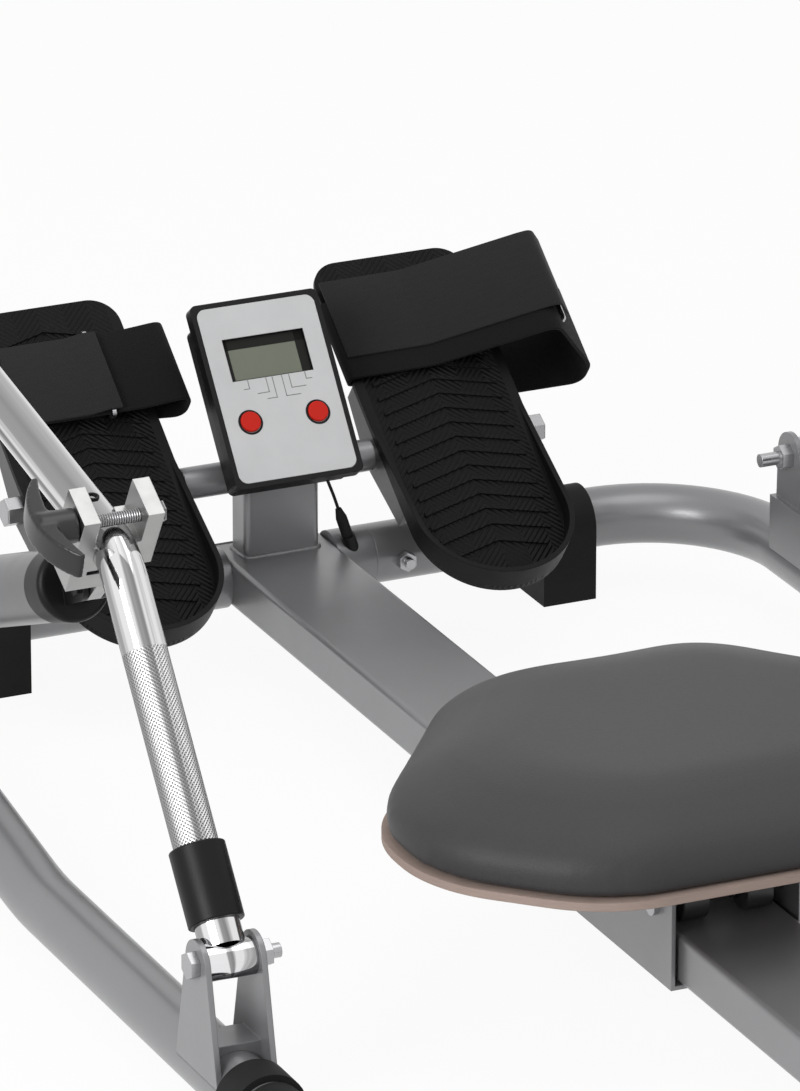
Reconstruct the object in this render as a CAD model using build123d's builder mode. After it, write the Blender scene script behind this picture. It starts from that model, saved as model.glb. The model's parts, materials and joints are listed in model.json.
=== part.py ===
from build123d import *
import os
from math import atan2, cos, radians, sin, sqrt, tan, pi

# Hydraulic rowing machine, in millimetres. +Z is up and +Y points at the footplates.
# The origin lies on the floor under the middle of the whole machine.
# A distance "behind" is measured from the front crossmember towards the rower.

# Fits shared by all pieces
running_gap = 0.05
flat_gap = 0.2
soft_gap = 0.5
cut_overrun = 2.0

# Centre beam, a flat rectangular steel tube that the seat rolls on
beam_length = 1146.0
beam_width = 86.0
beam_height = 35.0
beam_wall = 2.0
beam_corner = 4.0
beam_top = 72.0
beam_front_reach = 20.0
beam_cap_flange = 4.0
beam_cap_depth = 18.0

# Front crossmember
tube_diameter = 45.0
tube_wall = 2.0
cross_core_diameter = 30.0
cross_bore_diameter = 22.0
collar_end = 73.0
spigot_end = 128.0

# Side outriggers
side_x = 366.0
outrigger_bend = 110.0
outrigger_level_end = 255.0
outrigger_drop_end = 430.0
outrigger_rear_end = 852.0
outrigger_clearance = 2.0
drop_bend = 260.0
outrigger_bolt_x = 95.0
small_bolt_diameter = 8.0
small_bolt_head = 13.0
small_bolt_head_length = 5.5
small_bolt_nut_length = 6.5
small_bolt_tip = 5.0

# Rubber feet
foot_x = 228.5
foot_length = 43.0
foot_collar = 5.0
foot_sole = 8.0
rear_foot_y = 810.0
rear_foot_length = 28.0
rear_foot_reach = 29.0

# Rear stabiliser under the beam
stabiliser_y = 1090.0
stabiliser_length = 360.0
stabiliser_diameter = 32.0
stabiliser_saddle_width = 60.0
stabiliser_saddle_length = 26.0

# Black end caps on round tubes
end_cap_rim = 5.0
end_cap_depth = 16.0
end_cap_sleeve = 24.0
outrigger_cap_rim = 1.5

# Console post and pedal axle
post_width = 60.0
post_depth = 28.0
post_wall = 1.5
post_corner = 5.0
axle_height = 133.0
pedal_tube_diameter = 24.0
pedal_side_gap = 3.0
axle_diameter = 12.0
axle_nut_width = 19.0
axle_nut_length = 9.0
axle_dome_length = 4.0

# Footplates
plate_tilt = 37.0
plate_toe = 161.0
plate_heel = 139.0
plate_width = 124.0
plate_x = 141.0
plate_thickness = 4.0
plate_top = 14.0
plate_toe_corner = 22.0
heel_rim_height = 22.0
heel_rim_wall = 4.0
heel_rim_start = 14.0
pedal_boss_diameter = 21.0
cheek_wall = 4.0
cheek_drop = 17.0
cheek_end_drop = 4.0
cheek_heel_reach = 62.0
cheek_toe_reach = 54.0
tread_height = 1.2
tread_pitch = 13.0
tread_width = 3.5
tread_count = 19
tread_rise = 16.0
tread_inset = 14.0

# Foot straps
strap_width = 69.0
strap_thickness = 3.0
strap_centre = 107.5
strap_inner_rise = 5.0
strap_shelf_x = 5.0
strap_shelf_rise = 6.0
strap_crest_x = 98.0
strap_crest_rise = 34.0
strap_side_x = 143.0
strap_side_drop = 30.0
strap_bottom_drop = 54.0
strap_return_x = 72.0
strap_tuck_x = 50.0
strap_small_bend = 4.0
strap_tuck_bend = 8.0
strap_bend = 14.0
strap_large_bend = 24.0
slack_centre = 90.0
slack_rise = 10.0
slack_bend_x = 46.0
slack_end_x = 88.0
slack_end_rise = 16.0
slack_end_drop = 5.0
slack_tuck_x = 50.0
slack_ring_x = 25.0
ring_wire = 3.0
ring_length = 22.0
ring_corner = 4.0

# Console
console_width = 102.0
console_length = 144.0
console_tilt = 52.3
console_behind = 4.0
console_over_axle = 65.0
bezel_depth = 8.0
bezel_wall = 3.0
console_depth = 28.5
back_inset = 4.0
back_top_inset = 11.5
back_wall = 2.2
console_corner = 5.0
label_width = 94.0
label_length = 136.0
label_thickness = 0.8
label_corner = 7.0
screen_width = 65.0
screen_length = 33.0
screen_from_top = 45.5
screen_rim = 2.0
button_x = 27.0
button_from_top = 94.0
button_diameter = 15.5
button_proud = 1.8
button_travel = 1.2
button_flange = 2.0
button_gap = 0.25
switch_diameter = 6.0
board_width = 70.0
board_length = 98.0
board_rise = 5.0
board_thickness = 1.6
peg_diameter = 5.0
peg_inset = 4.0
battery_diameter = 14.0
battery_length = 50.5
battery_drop = 28.0
pillar_diameter = 9.0
screw_diameter = 3.0
screw_head = 5.6
screw_head_length = 2.2
screw_length = 12.0
screw_seat = 10.0
bracket_wall = 2.0
bracket_width = 56.0
bracket_rise = 26.0
bracket_drop = 57.0
bracket_screw_x = 18.0
bracket_screw_rise = 14.0

# Sensor lead, boot and jack
lead_diameter = 2.4
lead_hole = 3.4
lead_exit_x = 28.0
lead_exit_depth = 19.0
lead_inside = 6.0
boot_diameter = 8.5
boot_neck_diameter = 4.6
boot_length = 24.0
boot_neck_length = 8.0
jack_x = 54.0
jack_behind = 14.0
jack_diameter = 11.0
jack_height = 6.0
jack_lean_x = -9.0
jack_lean_y = -1.0
jack_lean_z = 26.0
lead_straight = 12.0

# Arms
arm_diameter = 31.0
arm_wall = 2.0
arm_pivot_y = 755.0
arm_pivot_height = 107.0
knee_y = 577.0
knee_height = 332.0
arm_upper_angle = 9.7
arm_upper_length = 385.0
arm_bend = 60.0
arm_start = 8.0
barrel_diameter = 26.0
sleeve_diameter = 38.5
sleeve_start = 25.0
sleeve_end = 78.0
grip_diameter = 40.0
grip_length = 130.0
grip_end_wall = 4.0

# Pivot brackets and their bolts
bracket_gap = 36.0
lug_wall = 4.0
lug_radius = 17.0
lug_base_half = 30.0
lug_base_height = 32.0
pivot_web = 5.0
pivot_bolt_diameter = 10.0
bolt_head_width = 17.0
bolt_head_length = 6.5
bolt_nut_length = 8.5
bolt_grip = 60.0
front_pivot_y = 150.0
front_pivot_height = 141.0
front_lug_gap = 28.0
front_lug_radius = 18.0
box_height = 104.0
box_front = 128.0
box_rear = 196.0
box_base_height = 62.0
box_wall = 5.0

# Resistance clamp, placed from the knee of the arm
clamp_along = 18.0
jaw_half_length = 16.0
jaw_out = 30.0
jaw_under = 21.0
jaw_inner = 17.0
jaw_wall = 12.0
jaw_pad_inner = 9.0
jaw_pad_out = 3.0
bridge_under = 39.0
bridge_top = 25.0
stud_diameter = 9.0
stud_out = 16.5
stud_along = 14.0
stud_reach = 9.0
lug_half = 5.0
tail_radius = 12.0
knob_hub_diameter = 24.0
knob_hub_length = 26.0
knob_gap = 0.4
knob_wing_span = 88.0
knob_wing_thickness = 9.0
knob_wing_depth = 20.0
knob_wing_sag = 12.0
knob_wing_angle = 17.0

# Hydraulic cylinders
tail_pin_y = 528.0
tail_pin_height = 292.0
cylinder_diameter = 50.0
cylinder_wall = 3.0
cylinder_start = 70.0
cap_length = 14.0
cap_to_pin = 28.0
cap_rim = 1.5
rod_diameter = 14.0
piston_length = 14.0
piston_gap = 0.2
gland_length = 18.0
eye_diameter = 26.0
ear_wall = 4.0
ear_gap = 0.5
tail_bolt_head = 3.0
tail_bolt_width = 14.0
tail_bolt_diameter = 8.0

# Seat
seat_centre_y = 684.0
seat_length = 340.0
seat_width = 450.0
seat_bottom = 135.0
seat_top = 192.0
seat_front_share = 0.455
seat_rear_share = 0.60
seat_wide_share = 0.48
seat_wide_end_share = 0.74
seat_corner_fill = 0.8948
seat_base_thickness = 6.0
pad_top_draw = 30.0

# Seat carriage and its rollers
carriage_length = 176.0
carriage_wall = 3.0
carriage_clearance = 3.0
carriage_top_wall = 5.0
carriage_lip = 10.0
carriage_lip_gap = 1.0
roller_diameter = 28.0
roller_width = 20.0
roller_x = 24.0
roller_spread = 62.0
roller_axle_diameter = 8.0
roller_ride_gap = 0.1
axle_head_diameter = 14.0
axle_head_length = 4.0

# Derived places
slope_cos = cos(radians(plate_tilt))
slope_sin = sin(radians(plate_tilt))
rear_reach = beam_length - beam_front_reach + beam_cap_flange
toe_reach = plate_toe * slope_cos - (plate_top - plate_thickness) * slope_sin
cross_y = (rear_reach - toe_reach) / 2
cross_height = beam_top - beam_height / 2
tube_radius = tube_diameter / 2
spigot_radius = tube_radius - tube_wall - running_gap
rear_tube_height = tube_radius + outrigger_clearance
stabiliser_height = beam_top - beam_height - stabiliser_diameter / 2


def spot(x, behind, height):
    """A place given by its side, its distance behind the crossmember and its height."""
    return Vector(x, cross_y - behind, height)


def bar(start, direction, radius, length, bore=0, both=False):
    """A round bar, or a tube where a bore is given."""
    with BuildPart() as piece:
        with BuildSketch(Plane(origin=start, z_dir=direction)):
            Circle(radius)
            if bore > 0:
                Circle(bore, mode=Mode.SUBTRACT)
        extrude(amount=length, both=both)
    return piece.part


def hexagon(start, direction, width, length):
    """A six-sided bolt head or nut."""
    with BuildPart() as piece:
        with BuildSketch(Plane(origin=start, z_dir=direction)):
            RegularPolygon(width / 2, 6, major_radius=False)
        extrude(amount=length)
    return piece.part


def side_slab(x, outline, thickness):
    """A flat piece in a side plane, centred on x, from pairs of distance behind and height."""
    with BuildPart() as piece:
        with BuildSketch(Plane.YZ.offset(x)):
            with BuildLine():
                Polyline(*[(cross_y - behind, height) for behind, height in outline], close=True)
            make_face()
        extrude(amount=thickness / 2, both=True)
    return piece.part


def side_hull(x, circles, thickness):
    """A flat piece in a side plane, the hull of circles of behind, height and radius."""
    with BuildPart() as piece:
        with BuildSketch(Plane.YZ.offset(x)):
            for behind, height, radius in circles:
                with Locations((cross_y - behind, height)):
                    Circle(radius)
            make_hull()
        extrude(amount=thickness / 2, both=True)
    return piece.part


def tube_cap(x, behind, height, direction, tube_outer, tube_bore, rim):
    """A black end cap: a sleeve over the tube, a closed end and a plug in its bore."""
    start = spot(x, behind, height)
    towards = Vector(*direction)
    with BuildPart() as piece:
        add(bar(start - towards * end_cap_sleeve, towards, tube_outer + rim,
                end_cap_sleeve + end_cap_rim, bore=tube_outer + running_gap))
        add(bar(start, towards, tube_outer + rim, end_cap_rim))
        add(bar(start - towards * end_cap_depth, towards, tube_bore - running_gap,
                end_cap_depth))
        fillet(piece.faces().sort_by(Axis(start, towards))[-1].edges(), rim)
    return piece.part


# Centre beam
beam_plane = Plane(origin=spot(0, -beam_front_reach, cross_height), x_dir=(1, 0, 0), z_dir=(0, -1, 0))
with BuildPart() as main_beam:
    with BuildSketch(beam_plane):
        RectangleRounded(beam_width, beam_height, beam_corner)
        RectangleRounded(beam_width - 2 * beam_wall, beam_height - 2 * beam_wall,
                         beam_corner - beam_wall, mode=Mode.SUBTRACT)
    extrude(amount=beam_length)
    add(bar(spot(0, 0, cross_height), (1, 0, 0), cross_core_diameter / 2 + running_gap,
            beam_width, both=True), mode=Mode.SUBTRACT)
main_beam.part.label = "main_beam"

# Black caps in the two ends of the beam
front_plug_depth = beam_front_reach - cross_core_diameter / 2 - flat_gap
with BuildPart() as beam_end_caps:
    for plane, depth in (
        (Plane(origin=spot(0, -beam_front_reach, cross_height), x_dir=(1, 0, 0), z_dir=(0, -1, 0)),
         front_plug_depth),
        (Plane(origin=spot(0, beam_length - beam_front_reach, cross_height), x_dir=(1, 0, 0),
               z_dir=(0, 1, 0)), beam_cap_depth),
    ):
        with BuildSketch(plane):
            RectangleRounded(beam_width - 2 * (beam_wall + running_gap),
                             beam_height - 2 * (beam_wall + running_gap), beam_corner - beam_wall)
        extrude(amount=depth)
        with BuildSketch(plane):
            RectangleRounded(beam_width, beam_height, beam_corner)
        extrude(amount=-beam_cap_flange)
beam_end_caps.part.label = "beam_end_caps"

# Front crossmember: a core through the beam, a collar on each side and a spigot for each outrigger
bolt_clear = small_bolt_diameter / 2 + flat_gap
with BuildPart() as front_crossmember:
    add(bar(spot(0, 0, cross_height), (1, 0, 0), cross_core_diameter / 2, spigot_end, both=True))
    for side in (-1, 1):
        add(bar(spot(side * beam_width / 2, 0, cross_height), (side, 0, 0), tube_radius,
                collar_end - beam_width / 2))
        add(bar(spot(side * collar_end, 0, cross_height), (side, 0, 0), spigot_radius,
                spigot_end - collar_end))
    add(bar(spot(0, 0, cross_height), (1, 0, 0), cross_bore_diameter / 2,
            spigot_end + cut_overrun, both=True), mode=Mode.SUBTRACT)
    for side in (-1, 1):
        add(bar(spot(side * outrigger_bolt_x, 0, cross_height), (0, 1, 0), bolt_clear,
                tube_diameter, both=True), mode=Mode.SUBTRACT)
front_crossmember.part.label = "front_crossmember"

# Outriggers: one bent tube on each side, from the crossmember round to the rear
outrigger_points = [
    spot(-collar_end, 0, cross_height),
    spot(-side_x, 0, cross_height),
    spot(-side_x, outrigger_level_end, cross_height),
    spot(-side_x, outrigger_drop_end, rear_tube_height),
    spot(-side_x, outrigger_rear_end, rear_tube_height),
]
with BuildPart() as outrigger_left:
    with BuildLine() as outrigger_path:
        FilletPolyline(*outrigger_points, radius=[outrigger_bend, drop_bend, drop_bend])
    with BuildSketch(Plane(origin=outrigger_points[0], z_dir=(-1, 0, 0))):
        Circle(tube_radius)
        Circle(tube_radius - tube_wall, mode=Mode.SUBTRACT)
    sweep(path=outrigger_path.wires()[0])
    add(bar(spot(-outrigger_bolt_x, 0, cross_height), (0, 1, 0), bolt_clear,
            tube_diameter, both=True), mode=Mode.SUBTRACT)
outrigger_left.part.label = "outrigger_left"
with BuildPart() as outrigger_right:
    add(mirror(outrigger_left.part, about=Plane.YZ))
outrigger_right.part.label = "outrigger_right"

# Bolts that hold the outriggers on the spigots
with BuildPart() as outrigger_bolts:
    for side in (-1, 1):
        head = spot(side * outrigger_bolt_x, -tube_radius, cross_height)
        nut = spot(side * outrigger_bolt_x, tube_radius, cross_height)
        add(bar(head, (0, -1, 0), small_bolt_diameter / 2,
                tube_diameter + small_bolt_nut_length + small_bolt_tip))
        add(hexagon(head, (0, 1, 0), small_bolt_head, small_bolt_head_length))
        add(hexagon(nut, (0, -1, 0), small_bolt_head, small_bolt_nut_length))
outrigger_bolts.part.label = "outrigger_bolts"

# Black caps on the rear ends of the outriggers
with BuildPart() as outrigger_end_caps:
    for side in (-1, 1):
        add(tube_cap(side * side_x, outrigger_rear_end, rear_tube_height, (0, -1, 0),
                     tube_radius, tube_radius - tube_wall, outrigger_cap_rim))
outrigger_end_caps.part.label = "outrigger_end_caps"

# Front feet: black saddles round the outriggers that stand on the floor
with BuildPart() as front_feet:
    for side in (-1, 1):
        with BuildSketch(Plane.YZ.offset(side * foot_x)):
            with Locations((cross_y, cross_height)):
                Circle(tube_radius + foot_collar)
            with Locations((cross_y, foot_sole / 2)):
                Rectangle(2 * (tube_radius + foot_collar), foot_sole)
            make_hull()
            with Locations((cross_y, cross_height)):
                Circle(tube_radius + running_gap, mode=Mode.SUBTRACT)
        extrude(amount=foot_length / 2, both=True)
front_feet.part.label = "front_feet"

# Rear feet under the ends of the outriggers
with BuildPart() as rear_feet:
    for side in (-1, 1):
        foot_plane = Plane(origin=spot(side * side_x, rear_foot_y, 0), x_dir=(1, 0, 0), z_dir=(0, -1, 0))
        with BuildSketch(foot_plane):
            with Locations((0, rear_tube_height)):
                Circle(tube_radius + foot_collar)
            with Locations((0, foot_sole / 2)):
                Rectangle(2 * rear_foot_reach, foot_sole)
            make_hull()
            with Locations((0, -tube_radius)):
                Rectangle(2 * tube_diameter, tube_diameter, mode=Mode.SUBTRACT)
            with Locations((0, rear_tube_height)):
                Circle(tube_radius + running_gap, mode=Mode.SUBTRACT)
        extrude(amount=rear_foot_length / 2, both=True)
rear_feet.part.label = "rear_feet"

# Rear stabiliser tube with the saddle that is welded under the beam
with BuildPart() as rear_stabiliser:
    add(bar(spot(0, stabiliser_y, stabiliser_height), (1, 0, 0), stabiliser_diameter / 2,
            stabiliser_length / 2, both=True))
    with BuildSketch(Plane.XY.offset(stabiliser_height)):
        with Locations((0, cross_y - stabiliser_y)):
            Rectangle(stabiliser_saddle_width, stabiliser_saddle_length)
    extrude(amount=stabiliser_diameter / 2)
    add(bar(spot(0, stabiliser_y, stabiliser_height), (1, 0, 0),
            stabiliser_diameter / 2 - tube_wall, stabiliser_length, both=True), mode=Mode.SUBTRACT)
rear_stabiliser.part.label = "rear_stabiliser"

# Black caps on the stabiliser, which also are its feet
stabiliser_cap_rim = stabiliser_height - stabiliser_diameter / 2
with BuildPart() as stabiliser_caps:
    for side in (-1, 1):
        add(tube_cap(side * stabiliser_length / 2, stabiliser_y, stabiliser_height, (side, 0, 0),
                     stabiliser_diameter / 2, stabiliser_diameter / 2 - tube_wall,
                     stabiliser_cap_rim))
stabiliser_caps.part.label = "stabiliser_caps"

# Console frame: a tilted plane through the middle of the face
tilt_cos = cos(radians(console_tilt))
tilt_sin = sin(radians(console_tilt))
console_height = axle_height + console_over_axle
console_plane = Plane(origin=spot(0, console_behind, console_height), x_dir=(1, 0, 0),
                      z_dir=(0, -tilt_sin, tilt_cos))


def console_spot(x, rise, depth):
    """A place in the console: along X, up its face and into it."""
    return console_plane.from_local_coords(Vector(x, rise, -depth))


console_in = -console_plane.z_dir
console_top = console_length / 2

# Console post: a rectangular tube on the beam, cut along the tilt of the console
post_cut_depth = console_depth + flat_gap + bracket_wall
with BuildPart() as console_post:
    with BuildSketch(Plane.XY.offset(beam_top)):
        with Locations((0, cross_y)):
            RectangleRounded(post_width, post_depth, post_corner)
            RectangleRounded(post_width - 2 * post_wall, post_depth - 2 * post_wall,
                             post_corner - post_wall, mode=Mode.SUBTRACT)
    extrude(amount=console_height - beam_top)
    with BuildSketch(console_plane.offset(-post_cut_depth)):
        Rectangle(2 * console_length, 2 * console_length)
    extrude(amount=console_length, mode=Mode.SUBTRACT)
    add(bar(spot(0, 0, axle_height), (1, 0, 0), pedal_tube_diameter / 2 + running_gap,
            post_width, both=True), mode=Mode.SUBTRACT)
console_post.part.label = "console_post"

# Pedal tube across the post, and the axle through it
axle_nut_start = plate_x + plate_width / 2 + flat_gap
with BuildPart() as pedal_tube:
    add(bar(spot(0, 0, axle_height), (1, 0, 0), pedal_tube_diameter / 2,
            plate_x - plate_width / 2 - pedal_side_gap,
            bore=axle_diameter / 2 + running_gap, both=True))
pedal_tube.part.label = "pedal_tube"
with BuildPart() as pedal_axle:
    add(bar(spot(0, 0, axle_height), (1, 0, 0), axle_diameter / 2,
            axle_nut_start + axle_nut_length, both=True))
pedal_axle.part.label = "pedal_axle"

# Domed nuts on the ends of the axle
with BuildPart() as pedal_axle_nuts:
    for side in (-1, 1):
        start = spot(side * axle_nut_start, 0, axle_height)
        add(hexagon(start, (side, 0, 0), axle_nut_width, axle_nut_length + axle_dome_length))
        add(bar(start, (side, 0, 0), axle_diameter / 2 + running_gap, axle_nut_length),
            mode=Mode.SUBTRACT)
    fillet(pedal_axle_nuts.faces().sort_by(Axis.X)[-1].edges(), axle_dome_length / 3)
    fillet(pedal_axle_nuts.faces().sort_by(Axis.X)[0].edges(), axle_dome_length / 3)
pedal_axle_nuts.part.label = "pedal_axle_nuts"

# Footplates: a sole with a heel cup, chevron treads and a boss on the axle
heel_centre = plate_width / 2 - plate_heel
plate_bottom = plate_top - plate_thickness


def sole_slab(plane, inset, amount):
    with BuildPart() as piece:
        with BuildSketch(plane) as sole:
            half = plate_width / 2 - inset
            toe = plate_toe - inset
            with Locations((0, heel_centre)):
                Circle(half)
            with Locations((0, (heel_centre + toe) / 2)):
                Rectangle(2 * half, toe - heel_centre)
            fillet(sole.vertices().group_by(Axis.Y)[-1], plate_toe_corner - inset)
        extrude(amount=amount)
    return piece.part


def footplate(x):
    face = Plane(origin=spot(x, 0, axle_height), x_dir=(1, 0, 0), z_dir=(0, -slope_sin, slope_cos))
    profile = Plane(origin=spot(x, 0, axle_height), x_dir=(0, slope_cos, slope_sin), z_dir=(1, 0, 0))
    rim_full = plate_thickness + heel_rim_height
    with BuildPart() as piece:
        add(sole_slab(face.offset(plate_bottom), 0, rim_full))
        add(sole_slab(face.offset(plate_top), heel_rim_wall, rim_full), mode=Mode.SUBTRACT)
        with BuildSketch(profile):
            with BuildLine():
                Polyline(
                    (heel_rim_start, plate_top),
                    (-plate_heel - cut_overrun, plate_top + heel_rim_height),
                    (-plate_heel - cut_overrun, plate_top + 2 * heel_rim_height),
                    (plate_toe + cut_overrun, plate_top + 2 * heel_rim_height),
                    (plate_toe + cut_overrun, plate_top),
                    close=True,
                )
            make_face()
        extrude(amount=plate_width, both=True, mode=Mode.SUBTRACT)
        with BuildSketch(profile):
            Circle(pedal_boss_diameter / 2)
            with Locations((0, plate_bottom / 2)):
                Rectangle(pedal_boss_diameter, plate_bottom)
        extrude(amount=plate_width / 2, both=True)
        for side in (-1, 1):
            with BuildSketch(profile.offset(side * (plate_width - cheek_wall) / 2)):
                with BuildLine():
                    Polyline(
                        (-cheek_heel_reach, plate_bottom), (-cheek_heel_reach, -cheek_end_drop),
                        (0, -cheek_drop), (cheek_toe_reach, -cheek_end_drop),
                        (cheek_toe_reach, plate_bottom), close=True,
                    )
                make_face()
            extrude(amount=cheek_wall / 2, both=True)
        with BuildSketch(face.offset(plate_top)):
            for count in range(tread_count):
                low = heel_centre - plate_width / 4 + count * tread_pitch
                half = plate_width / 2 - tread_inset
                if low < heel_centre:
                    reach = plate_width / 2 - tread_inset
                    half = sqrt(max(reach ** 2 - (heel_centre - low) ** 2, 0))
                rise = tread_rise * half / plate_width * 2
                with BuildLine():
                    Polyline(
                        (-half, low), (0, low + rise), (half, low),
                        (half, low + tread_width), (0, low + rise + tread_width),
                        (-half, low + tread_width), close=True,
                    )
                make_face()
        extrude(amount=tread_height)
        add(bar(spot(x, 0, axle_height), (1, 0, 0), axle_diameter / 2 + running_gap,
                plate_width, both=True), mode=Mode.SUBTRACT)
    return piece.part


with BuildPart() as footplate_left:
    add(footplate(-plate_x))
footplate_left.part.label = "footplate_left"
with BuildPart() as footplate_right:
    add(footplate(plate_x))
footplate_right.part.label = "footplate_right"

# Foot straps: a woven band round each plate that loops out past its right-hand side
strap_edge = plate_width / 2 + soft_gap + strap_thickness
strap_low = plate_bottom - soft_gap - strap_thickness
left_corners = [
    (-strap_edge, strap_low),
    (-strap_edge, plate_top + slack_rise),
    (slack_bend_x, plate_top + slack_rise),
    (slack_end_x, plate_top + slack_end_rise),
    (slack_end_x, strap_low - slack_end_drop),
    (slack_tuck_x, strap_low),
]
left_bends = [strap_small_bend, strap_small_bend, strap_large_bend, strap_tuck_bend,
              strap_tuck_bend, strap_tuck_bend]
right_corners = [
    (-strap_edge, strap_low),
    (-strap_edge, plate_top + strap_inner_rise),
    (strap_shelf_x, plate_top + strap_shelf_rise),
    (strap_crest_x, plate_top + strap_crest_rise),
    (strap_side_x, plate_top - strap_side_drop),
    (strap_side_x, plate_top - strap_bottom_drop),
    (strap_return_x, plate_top - strap_bottom_drop),
    (strap_tuck_x, strap_low),
]
right_bends = [strap_small_bend, strap_small_bend, strap_large_bend, strap_bend,
               strap_bend, strap_bend, strap_bend, strap_tuck_bend]


def strap_band(x, centre, corners, bends):
    """The closed band round one plate."""
    frame_plane = Plane(
        origin=spot(x, 0, axle_height) + Vector(0, slope_cos, slope_sin) * (centre - strap_width / 2),
        x_dir=(1, 0, 0), z_dir=(0, -slope_cos, -slope_sin),
    )
    with BuildPart() as piece:
        with BuildSketch(frame_plane):
            with BuildLine():
                FilletPolyline(*corners, radius=bends, close=True)
            make_face()
            offset(amount=-strap_thickness, mode=Mode.SUBTRACT)
        extrude(amount=-strap_width)
    return piece.part


with BuildPart() as foot_strap_left:
    add(strap_band(-plate_x, slack_centre, left_corners, left_bends))
foot_strap_left.part.label = "foot_strap_left"
with BuildPart() as foot_strap_right:
    add(strap_band(plate_x, strap_centre, right_corners, right_bends))
foot_strap_right.part.label = "foot_strap_right"


def strap_ring(x, centre, outer_x, outer_rise, run_x, run_rise):
    """A flat steel ring that the band runs through, from a place on its outer face."""
    slope_t = Vector(0, slope_cos, slope_sin)
    slope_n = Vector(0, -slope_sin, slope_cos)
    length = sqrt(run_x ** 2 + run_rise ** 2)
    run = Vector(1, 0, 0) * (run_x / length) + slope_n * (run_rise / length)
    inward = Vector(1, 0, 0) * (run_rise / length) - slope_n * (run_x / length)
    middle = Vector(1, 0, 0) * outer_x + slope_n * outer_rise + inward * (strap_thickness / 2)
    middle = middle + spot(x, 0, axle_height) + slope_t * centre
    ring_plane = Plane(origin=middle, x_dir=slope_t, z_dir=run)
    hole_width = strap_width + 2 * soft_gap
    hole_height = strap_thickness + 2 * soft_gap
    with BuildPart() as piece:
        with BuildSketch(ring_plane):
            RectangleRounded(hole_width + 2 * ring_wire, hole_height + 2 * ring_wire, ring_corner)
            Rectangle(hole_width, hole_height, mode=Mode.SUBTRACT)
        extrude(amount=ring_wire / 2, both=True)
    return piece.part


with BuildPart() as strap_ring_left:
    add(strap_ring(-plate_x, slack_centre, slack_ring_x, plate_top + slack_rise, 1, 0))
strap_ring_left.part.label = "strap_ring_left"
flank_x = strap_side_x - strap_crest_x
flank_drop = strap_crest_rise + strap_side_drop
ring_share = ring_length / sqrt(flank_x ** 2 + flank_drop ** 2)
with BuildPart() as strap_ring_right:
    add(strap_ring(plate_x, strap_centre, strap_crest_x + flank_x * ring_share,
                   plate_top + strap_crest_rise - flank_drop * ring_share, flank_x, -flank_drop))
strap_ring_right.part.label = "strap_ring_right"

# Console front: a tray with a recess for the label, a window, two button holes and screw bosses
shell_low = -console_top + back_inset
shell_high = console_top - back_top_inset
shell_middle = (shell_low + shell_high) / 2
shell_width = console_width - 2 * back_inset
shell_length = shell_high - shell_low
pillar_x = shell_width / 2 - pillar_diameter / 2
pillar_low = shell_low + pillar_diameter / 2
pillar_high = shell_high - pillar_diameter / 2
screw_hole = screw_diameter / 2 + running_gap
peg_x = board_width / 2 - peg_inset
peg_reach = board_length / 2 - peg_inset
peg_places = [
    (-peg_x, board_rise - peg_reach), (peg_x, board_rise - peg_reach),
    (-peg_x, board_rise + peg_reach), (peg_x, board_rise + peg_reach),
]
screen_rise = console_top - screen_from_top
button_rise = console_top - button_from_top
with BuildPart() as console_front:
    with BuildSketch(console_plane):
        RectangleRounded(console_width, console_length, console_corner)
    extrude(amount=-bezel_depth)
    with BuildSketch(console_plane.offset(-bezel_wall)):
        RectangleRounded(console_width - 2 * bezel_wall, console_length - 2 * bezel_wall,
                         console_corner - bezel_wall)
    extrude(amount=-bezel_depth, mode=Mode.SUBTRACT)
    with BuildSketch(console_plane.offset(-label_thickness)):
        RectangleRounded(label_width + 2 * flat_gap, label_length + 2 * flat_gap, label_corner)
    extrude(amount=bezel_depth, mode=Mode.SUBTRACT)
    with BuildSketch(console_plane):
        with Locations((0, screen_rise)):
            Rectangle(screen_width, screen_length)
        with Locations((-button_x, button_rise), (button_x, button_rise)):
            Circle(button_diameter / 2 + button_gap)
    extrude(amount=-bezel_depth, mode=Mode.SUBTRACT)
    with BuildSketch(console_plane.offset(-label_thickness - flat_gap)):
        with Locations(*peg_places):
            Circle(peg_diameter / 2)
    extrude(amount=label_thickness + flat_gap - bezel_depth)
    for side in (-1, 1):
        for rise in (pillar_low, pillar_high):
            add(bar(console_spot(side * pillar_x, rise, label_thickness + flat_gap), console_in,
                    pillar_diameter / 2, bezel_depth - label_thickness - flat_gap))
            add(bar(console_spot(side * pillar_x, rise, bezel_wall), console_in, screw_hole,
                    bezel_depth), mode=Mode.SUBTRACT)
console_front.part.label = "console_front"

# Console label: a thin printed sheet in the recess
with BuildPart() as console_label:
    with BuildSketch(console_plane.offset(-label_thickness)):
        RectangleRounded(label_width, label_length, label_corner)
        with Locations((0, screen_rise)):
            Rectangle(screen_width, screen_length, mode=Mode.SUBTRACT)
        with Locations((-button_x, button_rise), (button_x, button_rise)):
            Circle(button_diameter / 2 + button_gap, mode=Mode.SUBTRACT)
    extrude(amount=label_thickness)
console_label.part.label = "console_label"

# Console screen: the display block behind the window
with BuildPart() as console_screen:
    with BuildSketch(console_plane.offset(-bezel_depth)):
        with Locations((0, screen_rise)):
            Rectangle(screen_width + 2 * screen_rim, screen_length + 2 * screen_rim)
    extrude(amount=bezel_depth - bezel_wall - flat_gap)
console_screen.part.label = "console_screen"

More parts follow.
